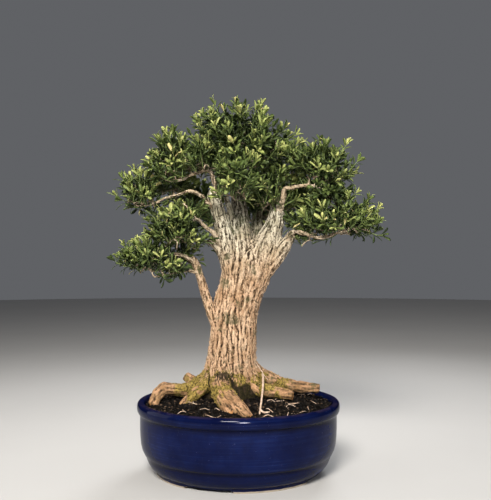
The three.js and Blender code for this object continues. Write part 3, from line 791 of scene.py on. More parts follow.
corky &= (spots[:, 2] > FLAKES_FROM) & (spots[:, 2] < FLAKES_TO)
at = chance.choice(np.flatnonzero(corky), FLAKES, replace=False)
flakes = mesh_object("bark_flakes", placed(spots[at] + 0.25 * normals[at]), [])
flake_turns = [
    turn_of(grain[i] * chance.choice((-1, 1)) + normals[i] * chance.uniform(0, 0.2), normals[i]) for i in at
]
flake_sizes = chance.uniform((0.5, 0.3, 0.5), (1.25, 0.75, 1.0), (len(at), 3))
mark(flakes, 0, flake_turns, flake_sizes * np.clip(limb_radius[at] / 22, 0.5, 1)[:, None])
for name, values in (("weathered", weathered), ("root", root_wood), ("bark_height", 0.65 + 0.3 * relief)):
    give(flakes.data, name, values[at])
run_tree(flakes, setting, part=flake, part_material=bark_finish, unevenness=0.25, seed=70)
bpy.data.objects.remove(flake)
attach(flakes, "root")


# Moss. Cushions of short spikes that grow on the root flare by themselves, gold-green on top, with painted
# shade that makes them nearly black in the hollows between the roots.
def moss_green(s):
    """Gold-green tips over dark green, a little different per cushion, and painted shade in the hollows."""
    patch, fine = s.noise(90, 3), s.noise(900, 2)
    tips = s.mix(patch.between(0.4, 0.6), (0.180, 0.135, 0.028), (0.560, 0.405, 0.120))
    dark, shade = (0.050, 0.042, 0.008), (0.010, 0.013, 0.006)
    spiked = s.mix(fine.between(0.3, 0.7) * 0.7, tips, dark)
    return s.node(
        "BsdfPrincipled",
        {},
        {
            "Base Color": s.mix(s.named("hollow") * 0.9, spiked, shade),
            "Roughness": 0.8 + fine * 0.15,
            "Specular IOR Level": 0.1,
            "Normal": s.bump(fine, 0.0004),
        },
    )


MOSS_TUFTS = 2500
SPIKES = [(0.1, 0.0, 1.9), (0.7, 0.4, 1.5), (0.7, 1.9, 1.3), (0.75, 3.1, 1.6), (0.65, 4.6, 1.4)]
tuft_points, tuft_faces = [], []
for lean, turn, tall in SPIKES:
    tip = tall * np.array([math.sin(lean) * math.cos(turn), math.sin(lean) * math.sin(turn), math.cos(lean)])
    foot = 0.35 * tip * (1, 1, 0) - (0, 0, 0.3)
    ring = [foot + 0.33 * np.array([math.cos(a), math.sin(a), 0]) for a in (turn, turn + 2.1, turn + 4.2)]
    n = len(tuft_points)
    tuft_points += [*ring, tip]
    tuft_faces += [(n, n + 1, n + 3), (n + 1, n + 2, n + 3), (n + 2, n, n + 3), (n + 2, n + 1, n)]
tuft = mesh_object("tuft", np.array(tuft_points) * MM, tuft_faces, smooth=False)
at = chance.choice(np.flatnonzero(moss > 0.35), MOSS_TUFTS, replace=False)
tufts = mesh_object("moss", placed(spots[at]), [])
up_way = np.array([0, 0, 0.6])
tuft_turns = [turn_of(np.cross(normals[i] + up_way, chance.normal(size=3)), normals[i] + up_way) for i in at]
mark(tufts, 0, tuft_turns, np.repeat(chance.uniform(0.6, 1.15, len(at)), 3).reshape(-1, 3))
give(tufts.data, "hollow", hollow[at])
run_tree(tufts, setting, part=tuft, part_material=material("moss", moss_green), unevenness=0.3, seed=71)
bpy.data.objects.remove(tuft)
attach(tufts, "root")


# Side branches. Thin grey-brown wood that grows from the limbs and carries the leafy pads. They bend at
# every old pruning cut.
BRANCHES = {
    "left_upper": [
        (-31, -12, 350, 5), (-30, -16, 371, 4), (-37, -22, 388, 3.2), (-49, -26, 386, 3),
        (-59, -30, 382, 2.6), (-71, -32, 376, 2.3), (-86, -30, 374, 1.9), (-102, -28, 380, 1.4),
    ],
    "left_side": [
        (-31, -12, 340, 4.5), (-45, -20, 353, 3.4), (-54, -24, 360, 3), (-61, -26, 362, 2.8),
        (-74, -28, 358, 2.5), (-93, -28, 352, 2.1), (-110, -24, 345, 1.8), (-127, -20, 342, 1.4),
    ],
    "left_thin": [
        (-16, -12, 283, 6), (-31, -22, 307, 3.6), (-43, -28, 317, 3), (-52, -32, 325, 2.6),
        (-65, -34, 321, 2.1), (-78, -34, 317, 1.8), (-94, -32, 321, 1.4),
    ],
    "left_thin_up": [(-51, -31, 324, 2.2), (-61, -32, 335, 1.8), (-69, -30, 346, 1.4)],
    "low_left_out": [
        (-54, -15, 268, 3.8), (-67, -22, 278, 3), (-80, -26, 281, 2.7), (-99, -28, 278, 2.4),
        (-116, -28, 275, 2), (-131, -26, 275, 1.7), (-145, -24, 282, 1.3),
    ],
    "low_left_under": [
        (-50, -13, 258, 3.2), (-67, -24, 260, 2.3), (-86, -34, 256, 1.8), (-106, -38, 253, 1.3),
    ],
    "low_left_back": [(-52, -12, 262, 3.4), (-66, 8, 272, 2.6), (-82, 26, 279, 2), (-100, 36, 284, 1.4)],
    "right_upper": [
        (52, -6, 332, 7), (57, -12, 351, 4.8), (60, -16, 365, 4.2), (68, -20, 366, 3.7), (82, -24, 369, 3.3),
        (97, -26, 368, 2.7), (113, -24, 364, 2.2), (127, -20, 371, 1.6),
    ],
    "right_low": [
        (60, -8, 290, 5.5), (69, -18, 309, 4), (82, -24, 308, 3.6), (94, -26, 304, 3.3), (105, -28, 302, 3.1),
        (120, -28, 306, 2.7), (137, -26, 312, 2.3), (154, -22, 315, 1.9), (167, -20, 311, 1.4),
    ],
    "right_low_back": [(64, -8, 298, 4.2), (80, 8, 314, 3.2), (102, 22, 324, 2.3), (126, 30, 328, 1.5)],
    "front_middle": [
        (-1, 6, 362, 5.5), (5, -16, 376, 3.8), (3, -38, 384, 2.8), (-6, -56, 384, 2), (-13, -68, 388, 1.4),
    ],
    "back_left": [
        (20, 16, 288, 6.5), (-2, 40, 312, 4.6), (-25, 62, 330, 3.4), (-50, 80, 340, 2.4), (-72, 90, 345, 1.6),
    ],
    "back_right": [
        (27, 28, 328, 6), (48, 46, 338, 4.2), (72, 64, 346, 3.1), (96, 78, 350, 2.1), (112, 84, 353, 1.5),
    ],
    "back_low": [
        (8, 16, 246, 7), (2, 46, 268, 4.8), (-6, 76, 282, 3.4), (-10, 100, 290, 2.3), (-8, 114, 294, 1.5),
    ],
}
# A pad is a mass of leaves round its centre that reaches out to its leaf tips. It grows on the limbs and
# branches that it names, with twigs of its own. Its lean moves its top to one side, and its leaders are the
# tips of its longest shoots, which stand out of the outline.
PADS = [
    {"name": "crown_top", "centre": (6, 4, 426), "reach": (68, 60, 55), "twigs": 5, "sprigs": 180,
     "lean": -13,
     "leaders": [(-34, 0, 486), (-3, -8, 484), (28, 0, 478), (-50, -4, 468), (64, -6, 452), (82, -8, 431)],
     "on": [LIMBS["middle"], LIMBS["right_up"], LIMBS["back"]]},
    {"name": "shoulder_left", "centre": (-45, -24, 404), "reach": (34, 34, 31), "twigs": 2, "sprigs": 60,
     "on": [BRANCHES["left_upper"], LIMBS["middle"]]},
    {"name": "upper_left", "centre": (-83, -20, 404), "reach": (35, 38, 36), "twigs": 2, "sprigs": 63,
     "leaders": [(-84, -18, 446), (-106, -20, 438)],
     "on": [BRANCHES["left_upper"]]},
    {"name": "side_left", "centre": (-124, -18, 363), "reach": (33, 34, 29), "twigs": 1, "sprigs": 46,
     "leaders": [(-135, -14, 398), (-152, -18, 385), (-160, -20, 362)],
     "on": [BRANCHES["left_side"]]},
    {"name": "middle_left", "centre": (-73, -30, 314), "reach": (42, 38, 33), "twigs": 0, "sprigs": 76,
     "on": [BRANCHES["left_thin"], BRANCHES["left_thin_up"]]},
    {"name": "low_left", "centre": (-101, -16, 278), "reach": (59, 44, 27), "twigs": 0, "sprigs": 95,
     "leaders": [(-150, -18, 301), (-133, -22, 304), (-165, -20, 281), (-112, -30, 309)],
     "on": [BRANCHES["low_left_out"], BRANCHES["low_left_under"], BRANCHES["low_left_back"]]},
    {"name": "front", "centre": (-8, -46, 376), "reach": (36, 34, 36), "twigs": 2, "sprigs": 65,
     "on": [BRANCHES["front_middle"]]},
    {"name": "middle_right", "centre": (42, 2, 365), "reach": (34, 42, 38), "twigs": 2, "sprigs": 68,
     "on": [LIMBS["right_up"], LIMBS["back"]]},
    {"name": "upper_right", "centre": (110, -16, 394), "reach": (42, 40, 34), "twigs": 2, "sprigs": 76,
     "lean": -8, "leaders": [(104, -18, 427), (111, -12, 432), (128, -20, 410), (150, -18, 392)],
     "on": [BRANCHES["right_upper"]]},
    {"name": "low_right", "centre": (122, -14, 327), "reach": (63, 46, 30), "twigs": 1, "sprigs": 114,
     "leaders": [(171, -14, 361), (166, -20, 352), (183, -16, 318), (178, -10, 334)],
     "on": [BRANCHES["right_low"], BRANCHES["right_low_back"]]},
    {"name": "back_left", "centre": (-58, 78, 356), "reach": (44, 38, 34), "twigs": 1, "sprigs": 68,
     "on": [BRANCHES["back_left"]]},
    {"name": "back_right", "centre": (88, 74, 362), "reach": (46, 38, 34), "twigs": 1, "sprigs": 68,
     "on": [BRANCHES["back_right"]]},
    {"name": "back_low", "centre": (-8, 86, 304), "reach": (42, 30, 28), "twigs": 0, "sprigs": 49,
     "on": [BRANCHES["back_low"]]},
    {"name": "inner", "centre": (30, 36, 345), "reach": (38, 30, 36), "twigs": 0, "sprigs": 41,
     "on": [LIMBS["back"], BRANCHES["back_right"]]},
    {"name": "under_left", "centre": (-88, 8, 374), "reach": (40, 26, 22), "twigs": 0, "sprigs": 35,
     "on": [BRANCHES["left_upper"], BRANCHES["left_side"]]},
    {"name": "shoulder_right", "centre": (80, -2, 404), "reach": (28, 32, 28), "twigs": 0, "sprigs": 35,
     "on": [BRANCHES["right_upper"], LIMBS["right_up"]]},
    {"name": "between_right", "centre": (110, -4, 360), "reach": (42, 30, 20), "twigs": 0, "sprigs": 35,
     "on": [BRANCHES["right_upper"], BRANCHES["right_low_back"]]},
    {"name": "under_right", "centre": (84, -12, 305), "reach": (20, 20, 16), "twigs": 0, "sprigs": 11,
     "on": [BRANCHES["right_low"], BRANCHES["right_low_back"]]},
]
GOLDEN_ANGLE = math.pi * (3 - math.sqrt(5))
TWIG_LOWEST = -0.2
TWIG_REACH = 0.5
TWIG_RADIUS = 1.7
BRANCH_STEP = 2.6


def fanned(i, count, lowest, phase):
    """Directions spread evenly from the top down to the lowest."""
    z = 1 - ((i + 0.5) / count) * (1 - lowest)
    turn = i * GOLDEN_ANGLE + phase
    level = math.sqrt(1 - z * z)
    return np.array([level * math.cos(turn), level * math.sin(turn), z])


def nearest_on(runs, place):
    """The station that is nearest to a place on any of the runs, past their first tenth."""
    stations = np.vstack([run[len(run) // 10:] for run in runs])
    return stations[np.linalg.norm(stations[:, :3] - place, axis=1).argmin()]


for number, pad in enumerate(PADS):
    pad["runs"] = [run_of(stations, 4) for stations in pad["on"]]
    own = []
    for i in range(pad["twigs"]):
        way = fanned(i, pad["twigs"], TWIG_LOWEST, 1.3 + number)
        end = np.array(pad["centre"]) + way * pad["reach"] * TWIG_REACH
        start = nearest_on(pad["runs"], end)
        middle = (start[:3] + end) / 2
        middle[2] += 0.12 * np.linalg.norm(end - start[:3])
        width = min(0.7 * start[3], TWIG_RADIUS)
        own.append([(*start[:3], width), (*middle, 0.85 * width), (*end, 1.0)])
    pad["own"] = own
    pad["runs"] += [run_of(stations, 4) for stations in own]


def knotty(run, seed):
    """A run with small bends and swellings, which leaves its two ends where they are."""
    bent = run.copy()
    t = np.linspace(0, 1, len(run))
    hold = np.sin(math.pi * t) ** 0.5
    for axis in range(3):
        wobble = np.array([noise.noise(Vector(p[:3]) / 11 + Vector((seed, axis * 5.3, 0))) for p in run])
        bent[:, axis] += hold * wobble * np.clip(0.5 * run[:, 3], 0.2, 1.3)
    swell = np.array([noise.noise(Vector(p[:3]) / 6 + Vector((seed, 9.1, 4.0))) for p in run])
    bent[:, 3] *= 0.7 * (1 + 0.3 * swell + 0.35 * np.exp(-t * len(run) / 3))
    return bent


branch_runs = [run_of(stations, BRANCH_STEP) for stations in BRANCHES.values()]
branch_runs += [run_of(stations, 3) for pad in PADS for stations in pad["own"]]
branch_parts, branch_relief, branch_grey = [], [], []
for number, run in enumerate(branch_runs):
    sides = 10 if run[:, 3].max() > 3 else 7
    points, faces = tube(knotty(run, 2.7 * number), sides)
    middle = np.repeat(run[:, :3], sides, axis=0)
    width = np.repeat(run[:, 3], sides)
    angle = np.tile(np.arange(sides) * 2 * math.pi / sides, len(run))
    length = np.repeat(np.arange(len(run)) * BRANCH_STEP, sides)
    around = np.stack([width * np.cos(angle), width * np.sin(angle), 0.28 * length + 40 * number], 1)
    raised = soft_step(lumps(around, 1.5), -0.35, 0.2)
    out = (points - middle) / (np.linalg.norm(points - middle, axis=1)[:, None] + 1e-9)
    points = points + out * ((raised - 0.6) * 0.3 * width)[:, None]
    branch_parts.append((points, faces))
    branch_relief.append(0.25 + 0.7 * raised)
    branch_grey.append(np.full(len(points), 0.55))
branch_points, branch_faces = joined(branch_parts)
side_branches = mesh_object("side_branches", placed(branch_points), branch_faces, bark_finish)
give(side_branches.data, "bark_height", np.concatenate(branch_relief))
give(side_branches.data, "weathered", np.concatenate(branch_grey))
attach(side_branches, "root")
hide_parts("trunk_and_branches")


# Foliage. Each pad is a crowd of short shoots with small spoon-shaped leaves in crossed pairs, dark inside,
# partly as painted shade, and yellow-green at the growing tips. The leaves are set along the shoots by one
# node tree.
LEAF_LENGTH = 14.2
LEAF_LINE = [(0.10, 0.20), (0.42, 0.74), (0.72, 1.0), (0.93, 0.66)]
LEAF_HALF_WIDTH = 2.6
LEAF_THICKNESS = 0.45


def leaf_mesh():
    """One leaf along +X with its face up: a folded spoon, thickest at the rib, whose tip turns down."""
    points = [(0, 0, 0)]
    for t, width in LEAF_LINE:
        x, half = t * LEAF_LENGTH, width * LEAF_HALF_WIDTH
        arch = 0.5 * math.sin(math.pi * t) - 1.5 * max(0, t - 0.55) ** 2 * 4
        fold = 0.16 * half
        points += [(x, half, arch + fold), (x, 0, arch + LEAF_THICKNESS / 2), (x, -half, arch + fold)]
        points += [(x, 0, arch - LEAF_THICKNESS / 2)]
    points.append((LEAF_LENGTH, 0, -1.1))
    faces = []
    last = len(points) - 1
    for j in range(4):
        k = (j + 1) % 4
        faces.append((0, 1 + k, 1 + j))
        for i in range(len(LEAF_LINE) - 1):
            a = 1 + 4 * i
            faces.append((a + j, a + k, a + 4 + k, a + 4 + j))
        faces.append((last - 4 + j, last - 4 + k, last))
    leaf = mesh_object("leaf", np.array(points) * MM, faces)
    give(leaf.data, "along_leaf", [p[0] / LEAF_LENGTH for p in points])
    give(leaf.data, "across_leaf", [p[1] / LEAF_HALF_WIDTH for p in points])
    return leaf


def grown(foot, tip, heading, thickness):
    """Stations of a shoot that leaves its foot and comes to its tip along heading."""
    bend = tip - 0.45 * np.linalg.norm(tip - foot) * heading
    t = np.linspace(0, 1, 6)[:, None]
    line = (1 - t) ** 2 * foot + 2 * t * (1 - t) * bend + t**2 * tip
    return np.hstack([line, thickness * (1 - 0.45 * t)])


def unit(v):
    return v / (np.linalg.norm(v) + 1e-9)


FIRST_OPENING = 0.36
OPENING_STEP = 0.24
WIDEST_OPENING = 1.3
NARROW_SHARE = 0.15


def leaves_of(stem, fresh, spacing):
    """Crossed pairs from the tip back, open low down and closer at the tip, with a tuft of two more at the
    tip. A leaf is (place, turn, sizes, age)."""
    found = []
    lengths = np.concatenate([[0], np.cumsum(np.linalg.norm(np.diff(stem[:, :3], axis=0), axis=1))])
    pairs = max(3, round(0.8 * lengths[-1] / spacing))
    way = unit(stem[-1, :3] - stem[-2, :3])
    side = unit(np.cross(way, chance.normal(size=3)))
    for pair in range(pairs + 1):
        back = max(lengths[-1] - (pair - 0.4) * spacing, 2)
        place = np.array([np.interp(back, lengths, stem[:, axis]) for axis in range(3)])
        ahead = np.array([np.interp(back + 1, lengths, stem[:, axis]) for axis in range(3)])
        if pair:
            way = unit(ahead - place)
        side = unit(side - way * side.dot(way))
        other = np.cross(way, side)
        turn = pair * math.pi / 2
        open_by = min(FIRST_OPENING + OPENING_STEP * pair, WIDEST_OPENING)
        for half in (0, math.pi):
            spin = turn + half + chance.uniform(-0.25, 0.25)
            out = side * math.cos(spin) + other * math.sin(spin)
            lean = open_by + chance.uniform(-0.24, 0.24)
            along = way * math.cos(lean) + out * math.sin(lean)
            face = way * math.sin(lean) - out * math.cos(lean)
            long = chance.uniform(0.8, 1.12) * (0.68 if pair == 0 else 1 if pair < pairs - 1 else 0.85)
            broad = long * (chance.uniform(0.9, 1.2) if pair < 3 else chance.uniform(0.6, 0.95))
            if chance.uniform() < NARROW_SHARE:
                long, broad = 1.25 * long, 0.6 * broad
            size = (long, broad, 1)
            # Leaves darken down the shoot as they grow older, and further inside a pad as painted shade.
            age = fresh * max(0.0, 1 - 0.25 * pair) + chance.uniform(-0.08, 0.12)
            found.append((place + out * 0.3, turn_of(along, face), size, age))
    return found


def leaf_green(s):
    """Dark blue-green when old and nearly black as painted shade inside a pad, yellow-green when fresh,
    a few cream, with a pale rib and a waxy sheen.
    """
    age, along, across = s.named("age"), s.named("along_leaf"), s.named("across_leaf")
    tone = s.named("tone")
    mottle = s.noise(260, 2)
    # Old leaves are nearly black: their own dark green, and painted shade inside the pads.
    old = s.mix(tone, (0.005, 0.010, 0.004), (0.026, 0.046, 0.013))
    grown_up = s.mix(tone, (0.095, 0.145, 0.034), (0.190, 0.240, 0.065))
    fresh = s.mix(tone, (0.360, 0.420, 0.120), (0.620, 0.620, 0.230))
    green = s.mix(age.between(0.05, 0.6), old, grown_up)
    green = s.mix(age.between(0.4, 1.0), green, fresh)
    green = s.mix(s.named("cream"), green, (0.60, 0.52, 0.22))
    green = s.mix(mottle.between(0.35, 0.7) * 0.25, green, (0.10, 0.15, 0.03))
    rib = (1 - s.math("ABSOLUTE", across).between(0.0, 0.16)) * (1 - along.between(0.75, 1.0))
    ribbed = s.mix(rib * 0.16, green, (0.30, 0.34, 0.12))
    return s.node(
        "BsdfPrincipled",
        {},
        {
            "Base Color": ribbed,
            "Roughness": 0.44 + mottle * 0.14,
            "Specular IOR Level": 0.22,
            "Normal": s.bump(rib * -0.6 + mottle * 0.3, 0.0003),
        },
    )


def shoot_skin(s):
    """Green where young, light brown and rough where it has turned to wood."""
    mottle = s.noise(300, 3)
    woody = s.named("woody")
    green = s.mix(mottle, (0.10, 0.16, 0.035), (0.20, 0.25, 0.07))
    brown = s.mix(mottle.between(0.3, 0.7), (0.20, 0.14, 0.085), (0.48, 0.38, 0.26))
    return s.node(
        "BsdfPrincipled",
        {},
        {"Base Color": s.mix(woody, green, brown), "Roughness": 0.7, "Normal": s.bump(mottle, 0.0004)},
    )


def read_spray(node):
    """The vertices of a solid spray, in millimetres from the pot's axis."""
    turn, shift = np.array(node.matrix_world)[:3, :3], np.array(node.matrix_world.translation)
    return (of_vertices(node.data) @ turn.T + shift) / MM - AXIS


leaf = leaf_mesh()
leaf_finish, shoot_finish = material("leaf", leaf_green), material("shoot", shoot_skin)
spray_points = {
    name: read_spray(node) for name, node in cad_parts.items() if name.startswith("leafy_spray")
}
for pad in PADS:
    pad["nodes"] = []
for name, points in spray_points.items():
    near = [np.linalg.norm((points.mean(axis=0) - pad["centre"]) / pad["reach"]) for pad in PADS]
    PADS[int(np.argmin(near))]["nodes"].append(name)

# No leaves grow over these stretches of branch on the front, so their bare wood shows.
BARE = {
    "left_upper": (1, 6), "left_side": (2, 6), "left_thin": (1, 4), "right_upper": (0, 5),
    "right_low": (1, 7), "low_left_out": (0, 3),
}
bare_wood = np.vstack([run_of(BRANCHES[name][a:b], 3)[:, :3] for name, (a, b) in BARE.items()])
sight = (bare_wood - EYE) / np.linalg.norm(bare_wood - EYE, axis=1)[:, None]
SHOOT_CLEARANCE = 6
LEAF_CLEARANCES = (4.5, 3.5)


def hides_wood(points, clearance):
    """Whether each point stands before a bare stretch of branch as seen from the front."""
    away = np.asarray(points)[:, None] - bare_wood
    ahead = (away * sight).sum(2)
    beside = np.linalg.norm(away - ahead[:, :, None] * sight, axis=2)
    return ((ahead < 1) & (beside < clearance)).any(axis=1)


# A pad's shoots stand in three layers, most of them in the outer one, where their leaves are the freshest.
# Leaves of the inner layers are painted darker, partly for being older and partly as painted shade.
OUTER, MIDDLE, INNER = 1.0, 0.78, 0.56
LAYERS = (OUTER, OUTER, OUTER, MIDDLE, INNER)
FRESHNESS_AND_SHADE = {OUTER: 1.0, MIDDLE: 0.5, INNER: 0.12}
SHOOT_LOWEST = -0.7
MOST_SWELL = 1.12
LONG_SHARE = 0.18
LONGER_BY = 8
OUTER_LENGTHS = (32, 48)
INNER_LENGTHS = (20, 32)
# A shoot's last leaves reach past the end of its stem by this much.
TIP_LEAVES = 8
SPRAY_LEAVES = 6
LEADER_LEAVES = 9


def layered_shoots(pad, number, skeleton):
    """The shoots that fill a pad's layers evenly. A shoot is its distance from the wood, its order, its foot,
    its tip, its heading and its layer."""
    centre, reach = np.array(pad["centre"], float), np.array(pad["reach"], float)
    shoots = []
    for i in range(pad["sprigs"]):
        layer = LAYERS[i % len(LAYERS)]
        way = fanned(i, pad["sprigs"], SHOOT_LOWEST, 0.9 + 1.7 * number)
        way = unit(way + chance.normal(scale=0.14, size=3))
        swell = min(1 + 0.34 * noise.noise(Vector(way) * 1.8 + Vector((number, 0, 0))), MOST_SWELL)
        longer = LONGER_BY if layer == OUTER and chance.uniform() < LONG_SHARE else 0
        tip = centre + way * reach * layer * swell * chance.uniform(0.9, 1.03) - way * (TIP_LEAVES - longer)
        tip[0] += pad.get("lean", 0) * max(way[2], 0) * layer
        rise = chance.uniform(0.4, 1.2) + 0.4 * max(way[2], 0) - 0.5 * (way[2] < -0.25)
        heading = unit(0.7 * way * (1, 1, 0.3) + (0, 0, rise))
        under = centre + way * reach * (0.5, 0.5, 0.3) * layer - (0, 0, 0.5 * reach[2])
        under += chance.normal(scale=2.5, size=3)
        length = chance.uniform(*(OUTER_LENGTHS if layer == OUTER else INNER_LENGTHS))
        foot = tip + min(length, np.linalg.norm(under - tip)) * unit(under - tip)
        gap = np.linalg.norm(skeleton[:, :3] - foot, axis=1).min()
        shoots.append((gap, i, foot, tip, heading, layer))
    return shoots


SKIRT_SHARE = 0.2
SKIRT_FROM = 0.62
SKIRT_REACH = 1.15
SKIRT_LENGTHS = (16, 27)


def skirt_shoots(pad):
    """Short shoots to all sides along the outer stretch of the branches that carry the pad."""
    leafy = np.vstack([run[round(SKIRT_FROM * len(run)):] for run in pad["runs"][:len(pad["on"])]])
    shoots = []
    for i in range(round(SKIRT_SHARE * pad["sprigs"])):
        foot = leafy[chance.integers(len(leafy)), :3]
        turn = chance.uniform(0, 2 * math.pi)
        aside = np.array([math.cos(turn), math.sin(turn), chance.uniform(-0.4, 0.35)])
        if np.linalg.norm((foot - pad["centre"]) / pad["reach"]) < SKIRT_REACH:
            tip = foot + chance.uniform(*SKIRT_LENGTHS) * unit(aside)
            shoots.append((0.0, pad["sprigs"] + i, foot, tip, unit(aside + (0, 0, 0.55)), MIDDLE))
    return shoots


LEADER_LENGTH = 36


def leader_shoots(pad):
    """The long shoots that end at the pad's leaders."""
    centre, reach = np.array(pad["centre"], float), np.array(pad["reach"], float)
    shoots = []
    for i, end in enumerate(pad.get("leaders", [])):
        heading = unit(unit((end - centre) / reach) * (0.6, 0.6, 0.2) + (0, 0, 0.7))
        tip = end - LEADER_LEAVES * heading
        foot = tip + LEADER_LENGTH * unit(centre - (0, 0, 0.4 * reach[2]) - tip)
        shoots.append((0.0, -1 - i, foot, tip, heading, OUTER))
    return shoots


SHOOT_RADIUS = 0.75
PAIR_SPACING = (4.6, 6.0)


def add_shoot(stems, leaves, foot, tip, heading, fresh):
    """One green shoot and its leaves."""
    stem = grown(foot, tip, heading, SHOOT_RADIUS)
    stems.append((stem, 0.0))
    leaves.extend(leaves_of(stem, fresh, chance.uniform(*PAIR_SPACING)))


TWIG_GAP = 2.5
WOOD_CLEARANCE = 1.2
CREAM_SHARE = 0.012
SPRAY_FRESHNESS = 0.95
for number, pad in enumerate(PADS):
    skeleton = np.vstack(pad["runs"])
    stems, leaves = [], []
    for name in pad["nodes"]:
        points = spray_points[name]
        gaps = np.linalg.norm(points[:, None] - skeleton[None, :, :3], axis=2).min(axis=1)
        foot = points[gaps.argmin()]
        away = np.linalg.norm(points - foot, axis=1)
        tip = points[np.argsort(away)[-6:]].mean(axis=0)
        heading = unit(unit((tip - pad["centre"]) / pad["reach"]) + (0, 0, 0.7))
        add_shoot(stems, leaves, foot, tip - SPRAY_LEAVES * unit(tip - foot), heading, SPRAY_FRESHNESS)
    wanted = layered_shoots(pad, number, skeleton) + skirt_shoots(pad)
    wanted = [w for w in wanted if not hides_wood([w[3], (w[2] + w[3]) / 2], SHOOT_CLEARANCE).any()]
    wanted += leader_shoots(pad)
    for _, _, foot, tip, heading, layer in sorted(wanted, key=lambda w: w[:2]):
        gaps = np.linalg.norm(skeleton[:, :3] - foot, axis=1)
        start = skeleton[gaps.argmin()]
        if gaps.min() > TWIG_GAP:
            middle = (start[:3] + foot) / 2 + (0, 0, 0.1 * gaps.min())
            twig = run_of([(*start[:3], 1.0), (*middle, 0.95), (*foot, 0.75)], 4)
            stems.append((twig, 1.0))
            skeleton = np.vstack([skeleton, twig])
        add_shoot(stems, leaves, foot, tip, heading, FRESHNESS_AND_SHADE[layer] * (0.2 + 0.8 * chance.uniform()))

    places = np.array([place for place, *_ in leaves])
    tips = np.array([
        place + np.array(turn.to_matrix().col[0]) * LEAF_LENGTH * size[0] * 0.6
        for place, turn, size, _ in leaves
    ])
    free = wood_field(tips)[0] > WOOD_CLEARANCE
    free &= ~hides_wood(tips, LEAF_CLEARANCES[0]) & ~hides_wood((tips + places) / 2, LEAF_CLEARANCES[1])
    places, turns, sizes, ages_and_shades = zip(*[leaves[i] for i in np.flatnonzero(free)])
    tubes = [tube(stem, 4) for stem, _ in stems]
    woody = np.repeat([kind for _, kind in stems], [len(points) for points, _ in tubes])
    points, faces = joined(tubes)
    foliage = mesh_object("leaves_" + pad["name"], placed(np.vstack([points, places])), faces)
    mark(foliage, len(points), turns, sizes)
    none = np.zeros(len(points))
    tones = chance.uniform(0, 1, len(ages_and_shades))
    creams = chance.uniform(0, 1, len(ages_and_shades)) < CREAM_SHARE
    give(foliage.data, "age", np.concatenate([none, ages_and_shades]))
    give(foliage.data, "tone", np.concatenate([none, tones]))
    give(foliage.data, "cream", np.concatenate([none, creams]))
    give(foliage.data, "woody", np.concatenate([woody, np.zeros(len(ages_and_shades))]))
    run_tree(
        foliage, setting, part=leaf, part_material=leaf_finish, shoot_material=shoot_finish,
        unevenness=0.12, seed=number + 1,
    )
    foliage.data.shade_smooth()
    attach(foliage, "root")
    if pad["nodes"]:
        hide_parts(*pad["nodes"])
bpy.data.objects.remove(leaf)


# Soil. A dark granular bonsai mix that fills the pot and rises to the trunk, with loose grains, bark chips
# and pale root fibres on it.
SOIL_TURNS = 120
SOIL_FLOOR = 13.3
SOIL_SIDE = [(99.7, SOIL_FLOOR), (107, 15), (112, 19.4), (115.6, 27), (117.7, 38), (119, 60), (120.4, 84)]
SOIL_TOP = [
    (120.2, 87.6), (118, 88.1), (114, 88.6), (110, 89.2), (105, 89.9), (100, 90.5), (95, 91.3), (90, 92),
    (85, 92.8), (80, 93.5), (75, 94.2), (70, 94.8), (65, 95.4), (60, 96), (54, 96.5), (48, 97), (40, 97.7),
    (30, 98.5), (18, 99.5), (8, 100.3),
]
SOIL_PEAK = 101


def soil_height(x, y):
    """The height of the heap there, with crumbs of three sizes."""
    line = SOIL_TOP[::-1]
    height = float(np.interp(math.hypot(x, y), [r for r, _ in line], [h for _, h in line]))
    spot = Vector((x, y, 0))
    height += 1.3 * noise.noise(spot / 13)
    height += 0.9 * noise.noise(spot / 4.5)
    return height + 0.5 * noise.noise(spot / 2)


soil_points = []
for turn in np.linspace(0, 2 * math.pi, SOIL_TURNS, endpoint=False):
    soil_points += [(r * math.cos(turn), r * math.sin(turn), height) for r, height in SOIL_SIDE]
    top = [(r * math.cos(turn), r * math.sin(turn)) for r, _ in SOIL_TOP]
    soil_points += [(x, y, soil_height(x, y)) for x, y in top]
ring = len(soil_points) // SOIL_TURNS
soil_faces = []
bottom, peak = len(soil_points), len(soil_points) + 1
soil_points += [(0, 0, SOIL_FLOOR), (0, 0, SOIL_PEAK)]
for t in range(SOIL_TURNS):
    after = (t + 1) % SOIL_TURNS
    for i in range(ring - 1):
        soil_faces.append((t * ring + i, after * ring + i, after * ring + i + 1, t * ring + i + 1))
    soil_faces.append((bottom, after * ring, t * ring))
    soil_faces.append((peak, t * ring + ring - 1, after * ring + ring - 1))


def dark_soil(s):
    # Each crumb is painted darker from its middle out and near black at its edge: painted shade round the
    # crumbs and in the gaps between them.
    crumbs = s.node("TexVoronoi", {"feature": "F1"}, {"Vector": s.place(), "Scale": 420}, "Distance")
    shades = s.node("TexVoronoi", {"feature": "F1"}, {"Vector": s.place(), "Scale": 420}, "Color")
    pick = s.node("SeparateXYZ", {}, {"Vector": shades}, "X")
    earth = s.mix(pick, (0.0022, 0.0016, 0.0012), (0.013, 0.009, 0.0062))
    return s.node(
        "BsdfPrincipled",
        {},
        {
            "Base Color": s.mix(crumbs.between(0.2, 0.7), earth, (0.001, 0.0008, 0.0006)),
            "Roughness": 0.75 + crumbs * 0.2,
            "Specular IOR Level": 0.06,
            "Normal": s.bump(1 - crumbs, 0.0012),
        },
    )


